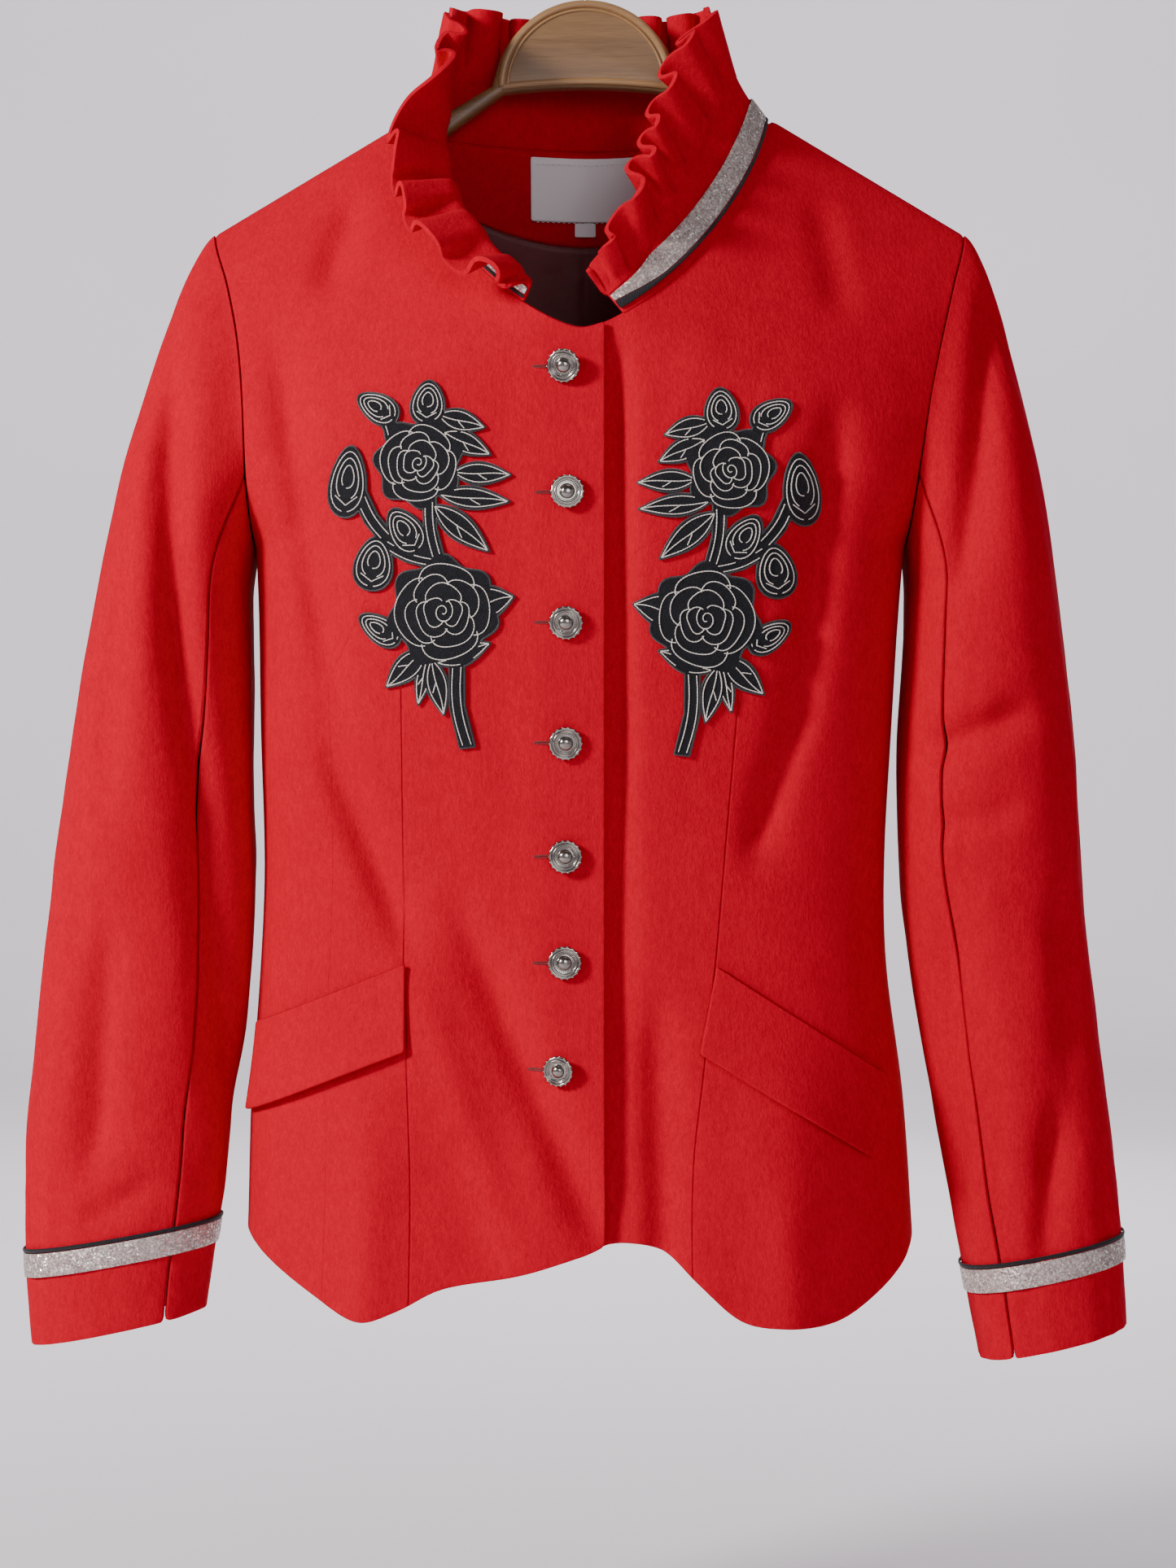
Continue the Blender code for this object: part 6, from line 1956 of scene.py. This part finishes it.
def make_floor(colour):
    """Sweep a pale floor that rises softly far away all round."""
    bm = bmesh.new()
    profile = [(0.0, 0.0), (STAGE_REACH * 0.5, 0.0), (STAGE_REACH * 0.8, 0.0)]
    for t in shares(8)[1:]:
        turn = pi / 2 * t
        reach = STAGE_REACH * (0.8 + 0.2 * sin(turn))
        profile.append((reach, STAGE_REACH * 0.2 * (1.0 - cos(turn))))
    profile.append((STAGE_REACH, STAGE_REACH * 0.55))
    turn_section(bm, [(reach, height + FLOOR_Z) for reach, height in profile], 72)
    bmesh.ops.reverse_faces(bm, faces=bm.faces)
    mesh_data = smooth_mesh("floor", bm)
    material, tree, shader = start_material("pale_floor", colour, 0.85)
    clouds = add_range(tree, add_noise(tree, object_place(tree), 1.6, 2.0), 0.3, 0.7, 0.97, 1.02)
    plug(shader, {"Base Color": scaled(tree, colour, clouds)})
    mesh_data.materials.append(material)
    link_object("floor", mesh_data)


def dye(name, description, value):
    """A colour setting."""
    return FloatVectorProperty(
        name=name, description=description, subtype="COLOR", size=3, min=0.0, max=1.0, default=value,
    )


def amount(name, description, value, low, high, unit, **more):
    """A number setting."""
    return FloatProperty(
        name=name, description=description, default=value, min=low, max=high, unit=unit, **more,
    )


class JacketClothSettings(bpy.types.PropertyGroup):
    """Colours and surface of the jacket's own cloth."""

    wool_colour: dye("Wool", "Dye of the felted wool", (0.54, 0.0018, 0.019))
    nap: amount("Nap", "Depth of the wool's fibres", 0.0006, 0.0, 0.003, "LENGTH", subtype="DISTANCE")
    lining_colour: dye("Lining", "Colour of the satin lining", (0.12, 0.003, 0.007))
    label_colour: dye("Label", "Colour of the bare label and size tab", (0.92, 0.88, 0.89))


class JacketTrimSettings(bpy.types.PropertyGroup):
    """Colours of ribbon, braid, flower sprays and buttons."""

    ribbon_bright: dye("Ribbon yarn", "Bright yarn of the silver ribbon", (0.72, 0.62, 0.58))
    ribbon_dark: dye("Ribbon ground", "Dark yarn of the silver ribbon", (0.3, 0.22, 0.21))
    braid_colour: dye("Braid", "Colour of the black braid", (0.012, 0.01, 0.014))
    patch_colour: dye("Flower ground", "Colour of the sprays' black ground", (0.008, 0.008, 0.012))
    thread_colour: dye("Outline thread", "Cream silver thread of the outlines", (0.72, 0.66, 0.6))
    metal_colour: dye("Button metal", "Polished metal of the buttons", (0.36, 0.33, 0.3))


class JacketHangerSettings(bpy.types.PropertyGroup):
    """Colours of the wooden hanger and its hook."""

    wood_light: dye("Wood", "Pale tone of the wood", (0.25, 0.13, 0.05))
    wood_dark: dye("Grain", "Dark tone of the grain", (0.14, 0.068, 0.025))
    steel_colour: dye("Steel", "Colour of the hook", (0.62, 0.61, 0.6))


class JacketStageSettings(bpy.types.PropertyGroup):
    """Floor, lights and camera."""

    floor_colour: dye("Floor", "Colour of the pale floor", (0.83, 0.79, 0.84))
    key_power: amount("Key light", "Power of the main soft light", 76.0, 0.0, 500.0, "POWER")
    fill_power: amount("Fill light", "Power of each weaker soft light", 9.0, 0.0, 500.0, "POWER")
    camera_distance: amount(
        "Camera distance", "From the camera to the hanger", 1.6, 0.5, 5.0, "LENGTH", subtype="DISTANCE",
    )


def made_materials(context):
    """Every material of the jacket and its hanger, made once and kept by name."""
    if MATERIALS:
        return MATERIALS
    cloth = context.scene.jacket_cloth
    trim = context.scene.jacket_trim
    hanger = context.scene.jacket_hanger
    # A brighter copy of the hanger's wood: painted highlight for the plate's mouldings and lip.
    pale = tuple(min(1.0, value * 1.45) for value in hanger.wood_light)
    MATERIALS.update(
        wool=wool_material("red_wool", cloth.wool_colour, cloth.nap),
        satin=satin_material(cloth.lining_colour),
        woven=label_material(cloth.label_colour),
        silver=ribbon_material(trim.ribbon_dark, trim.ribbon_bright),
        black=braid_material(trim.braid_colour),
        felt=patch_material(trim.patch_colour),
        thread=thread_material("cream_thread", trim.thread_colour),
        edge_thread=thread_material("black_thread", (0.014, 0.013, 0.018), 0.5, 0.4),
        slit_thread=thread_material("dark_red_thread", (0.16, 0.004, 0.008), 0.7, 0.3),
        white_thread=thread_material("white_thread", (0.7, 0.68, 0.66), 0.6),
        metal=metal_material(trim.metal_colour, (0.018, 0.012, 0.01)),
        wood=wood_material("hanger_wood", hanger.wood_light, hanger.wood_dark),
        pale_wood=wood_material("pale_wood", pale, hanger.wood_light),
        steel=steel_material(hanger.steel_colour),
    )
    return MATERIALS


class JACKET_OT_torso(bpy.types.Operator):
    """Cut and hang the two fronts and the back"""

    bl_idname = "jacket.torso"
    bl_label = "Fronts and back"

    def execute(self, context):
        kit = made_materials(context)
        slots = [kit["wool"], kit["wool"], kit["wool"], kit["satin"]]
        over, under = LAP_EDGE_X, UNDERLAP_EDGE_X
        torso_sheet("right_front", (over, -106, -208), (34, 24), 92, True, -1.0, over, True, slots)
        torso_sheet("left_front", (under, 102, 212), (36, 24), 92, True, 1.0, under, False, slots)
        torso_sheet("back_panel", (-208, -106, 102, 212), (20, 38, 20), 78, False, 0.0, None, False, slots)
        return {"FINISHED"}


class JACKET_OT_sleeves(bpy.types.Operator):
    """Cut and hang both sleeves and trim their cuffs"""

    bl_idname = "jacket.sleeves"
    bl_label = "Sleeves"

    def execute(self, context):
        kit = made_materials(context)
        wearer_right = (-1, SLEEVE_RIGHT_OF_WEARER, CUFF_RIGHT_OF_WEARER, SLEEVE_CREASES_RIGHT_OF_WEARER)
        wearer_left = (1, SLEEVE_LEFT_OF_WEARER, CUFF_LEFT_OF_WEARER, SLEEVE_CREASES_LEFT_OF_WEARER)
        cloths = [kit["wool"], kit["satin"]]
        for side, sleeve in (("right", wearer_right), ("left", wearer_left)):
            sleeve_sheet(side + "_top_sleeve", sleeve, True, cloths)
            sleeve_sheet(side + "_under_sleeve", sleeve, False, cloths)
            low = CUFF_DEPTH - CUFF_RIBBON_WIDTH
            band_round_cuff(side + "_cuff_ribbon", sleeve, low, CUFF_RIBBON_WIDTH, 0.25, [kit["silver"]])
            low = CUFF_DEPTH + TRIM_PARTING
            band_round_cuff(side + "_cuff_braid", sleeve, low, CUFF_BRAID_WIDTH, 0.5, [kit["black"]])
        return {"FINISHED"}


class JACKET_OT_collar(bpy.types.Operator):
    """Make the collar band, its gathered ruffle and its trim"""

    bl_idname = "jacket.collar"
    bl_label = "Collar"

    def execute(self, context):
        kit = made_materials(context)
        make_collar(kit["wool"], kit["silver"], kit["black"])
        return {"FINISHED"}


class JACKET_OT_flaps(bpy.types.Operator):
    """Lay the two pocket flaps"""

    bl_idname = "jacket.flaps"
    bl_label = "Pocket flaps"

    def execute(self, context):
        wool = made_materials(context)["wool"]
        for side, corners in (("right", FLAP_RIGHT_OF_WEARER), ("left", FLAP_LEFT_OF_WEARER)):
            flap_sheet(side + "_flap", corners, wool)
        return {"FINISHED"}


class JACKET_OT_sprays(bpy.types.Operator):
    """Sew the flower sprays on the fronts"""

    bl_idname = "jacket.sprays"
    bl_label = "Flower sprays"

    def execute(self, context):
        kit = made_materials(context)
        for side, origin, mirror in (("right", SPRAY_LEFT_ORIGIN, 1.0), ("left", SPRAY_RIGHT_ORIGIN, -1.0)):
            tree = surface_tree(side + "_front")
            make_spray(
                side + "_spray", "rose_patch_" + side, origin, mirror, tree, kit["felt"], kit["thread"],
                kit["edge_thread"],
            )
        return {"FINISHED"}


class JACKET_OT_buttons(bpy.types.Operator):
    """Work the buttonholes and sew on the buttons"""

    bl_idname = "jacket.buttons"
    bl_label = "Buttons"

    def execute(self, context):
        kit = made_materials(context)
        tree = surface_tree("right_front")
        holes = [buttonhole_lines(row, tree) for row in BUTTONS]
        stand_for(round_curve("buttonholes", holes, 0.5, kit["slit_thread"], closed=True, pitch=1.0), "wool")
        for number, row in enumerate(BUTTONS, start=1):
            make_button("button_" + str(number), row, kit["metal"])
        return {"FINISHED"}


class JACKET_OT_inside(bpy.types.Operator):
    """Make what shows inside the neck"""

    bl_idname = "jacket.inside"
    bl_label = "Inside of the neck"

    def execute(self, context):
        kit = made_materials(context)
        make_inside(kit["wool"], kit["satin"], kit["woven"], kit["white_thread"])
        return {"FINISHED"}


class JACKET_OT_hanger(bpy.types.Operator):
    """Make the wooden hanger and its steel hook"""

    bl_idname = "jacket.hanger"
    bl_label = "Hanger"

    def execute(self, context):
        kit = made_materials(context)
        make_hanger_body(kit["wood"])
        make_hanger_rim(kit["pale_wood"])
        make_hanger_hook(kit["steel"])
        return {"FINISHED"}


class JACKET_OT_stage(bpy.types.Operator):
    """Set the floor, the soft lights and the camera"""

    bl_idname = "jacket.stage"
    bl_label = "Floor, lights and camera"

    def execute(self, context):
        stage = context.scene.jacket_stage
        make_floor(stage.floor_colour)
        middle = (0.0, 0.0, -0.45)
        key, fill = stage.key_power, stage.fill_power
        add_soft_light("key", (-2.0, -1.35, 0.5), middle, 0.45, key, (1.0, 0.97, 0.94))
        add_soft_light("fill", (0.5, -2.4, 0.15), middle, 1.0, fill * 1.6, (0.95, 0.97, 1.0))
        add_soft_light("backdrop", (0.0, 1.3, 1.6), (0.0, 4.6, -0.4), 3.0, fill * 14.0, (1.0, 0.99, 1.0))
        add_soft_light("top", (0.3, 0.4, 1.7), middle, 1.6, fill, (1.0, 1.0, 1.0))
        add_soft_light("behind", (0.6, 2.4, 0.2), middle, 1.6, fill, (1.0, 0.98, 0.96))
        world = bpy.data.worlds.new("soft_room")
        world.use_nodes = True
        sky = world.node_tree.nodes["Background"]
        sky.inputs["Color"].default_value = (0.9, 0.9, 0.92, 1.0)
        sky.inputs["Strength"].default_value = 0.08
        context.scene.world = world
        camera = bpy.data.cameras.new("camera")
        camera.sensor_fit = "VERTICAL"
        camera.sensor_height = 24.0
        camera.lens = 24.0 / (FRAME_HEIGHT / stage.camera_distance)
        item = link_object("camera", camera)
        item.location = (CAMERA_X, -stage.camera_distance, CAMERA_Z)
        item.rotation_euler = (radians(90.0), 0.0, 0.0)
        context.scene.camera = item
        return {"FINISHED"}


OPERATORS = (
    JACKET_OT_torso, JACKET_OT_sleeves, JACKET_OT_collar, JACKET_OT_flaps, JACKET_OT_sprays,
    JACKET_OT_buttons, JACKET_OT_inside, JACKET_OT_hanger, JACKET_OT_stage,
)


class JACKET_PT_panel(bpy.types.Panel):
    """Sizes, colours and pieces of the jacket"""

    bl_idname = "JACKET_PT_panel"
    bl_label = "Embroidered jacket"
    bl_space_type = "VIEW_3D"
    bl_region_type = "UI"
    bl_category = "Jacket"

    def draw(self, context):
        for name in SETTINGS:
            group = getattr(context.scene, name)
            box = self.layout.box()
            for field in group.bl_rna.properties.keys():
                if field not in ("rna_type", "name"):
                    box.prop(group, field)
        for operator in OPERATORS:
            self.layout.operator(operator.bl_idname)


SETTINGS = {
    "jacket_cloth": JacketClothSettings,
    "jacket_trim": JacketTrimSettings,
    "jacket_hanger": JacketHangerSettings,
    "jacket_stage": JacketStageSettings,
}


def register():
    """Make the settings, operators and panel known to Blender."""
    for name, group in SETTINGS.items():
        bpy.utils.register_class(group)
        setattr(bpy.types.Scene, name, PointerProperty(type=group))
    for operator in OPERATORS:
        bpy.utils.register_class(operator)
    bpy.utils.register_class(JACKET_PT_panel)


def unregister():
    """Take the panel, operators and settings away again."""
    bpy.utils.unregister_class(JACKET_PT_panel)
    for operator in reversed(OPERATORS):
        bpy.utils.unregister_class(operator)
    for name, group in reversed(SETTINGS.items()):
        delattr(bpy.types.Scene, name)
        bpy.utils.unregister_class(group)


def main():
    """Build the whole jacket and its stage."""
    register()
    bpy.ops.jacket.torso()
    bpy.ops.jacket.sleeves()
    bpy.ops.jacket.collar()
    bpy.ops.jacket.flaps()
    bpy.ops.jacket.sprays()
    bpy.ops.jacket.buttons()
    bpy.ops.jacket.inside()
    bpy.ops.jacket.hanger()
    bpy.ops.jacket.stage()


if __name__ == "__main__":
    main()
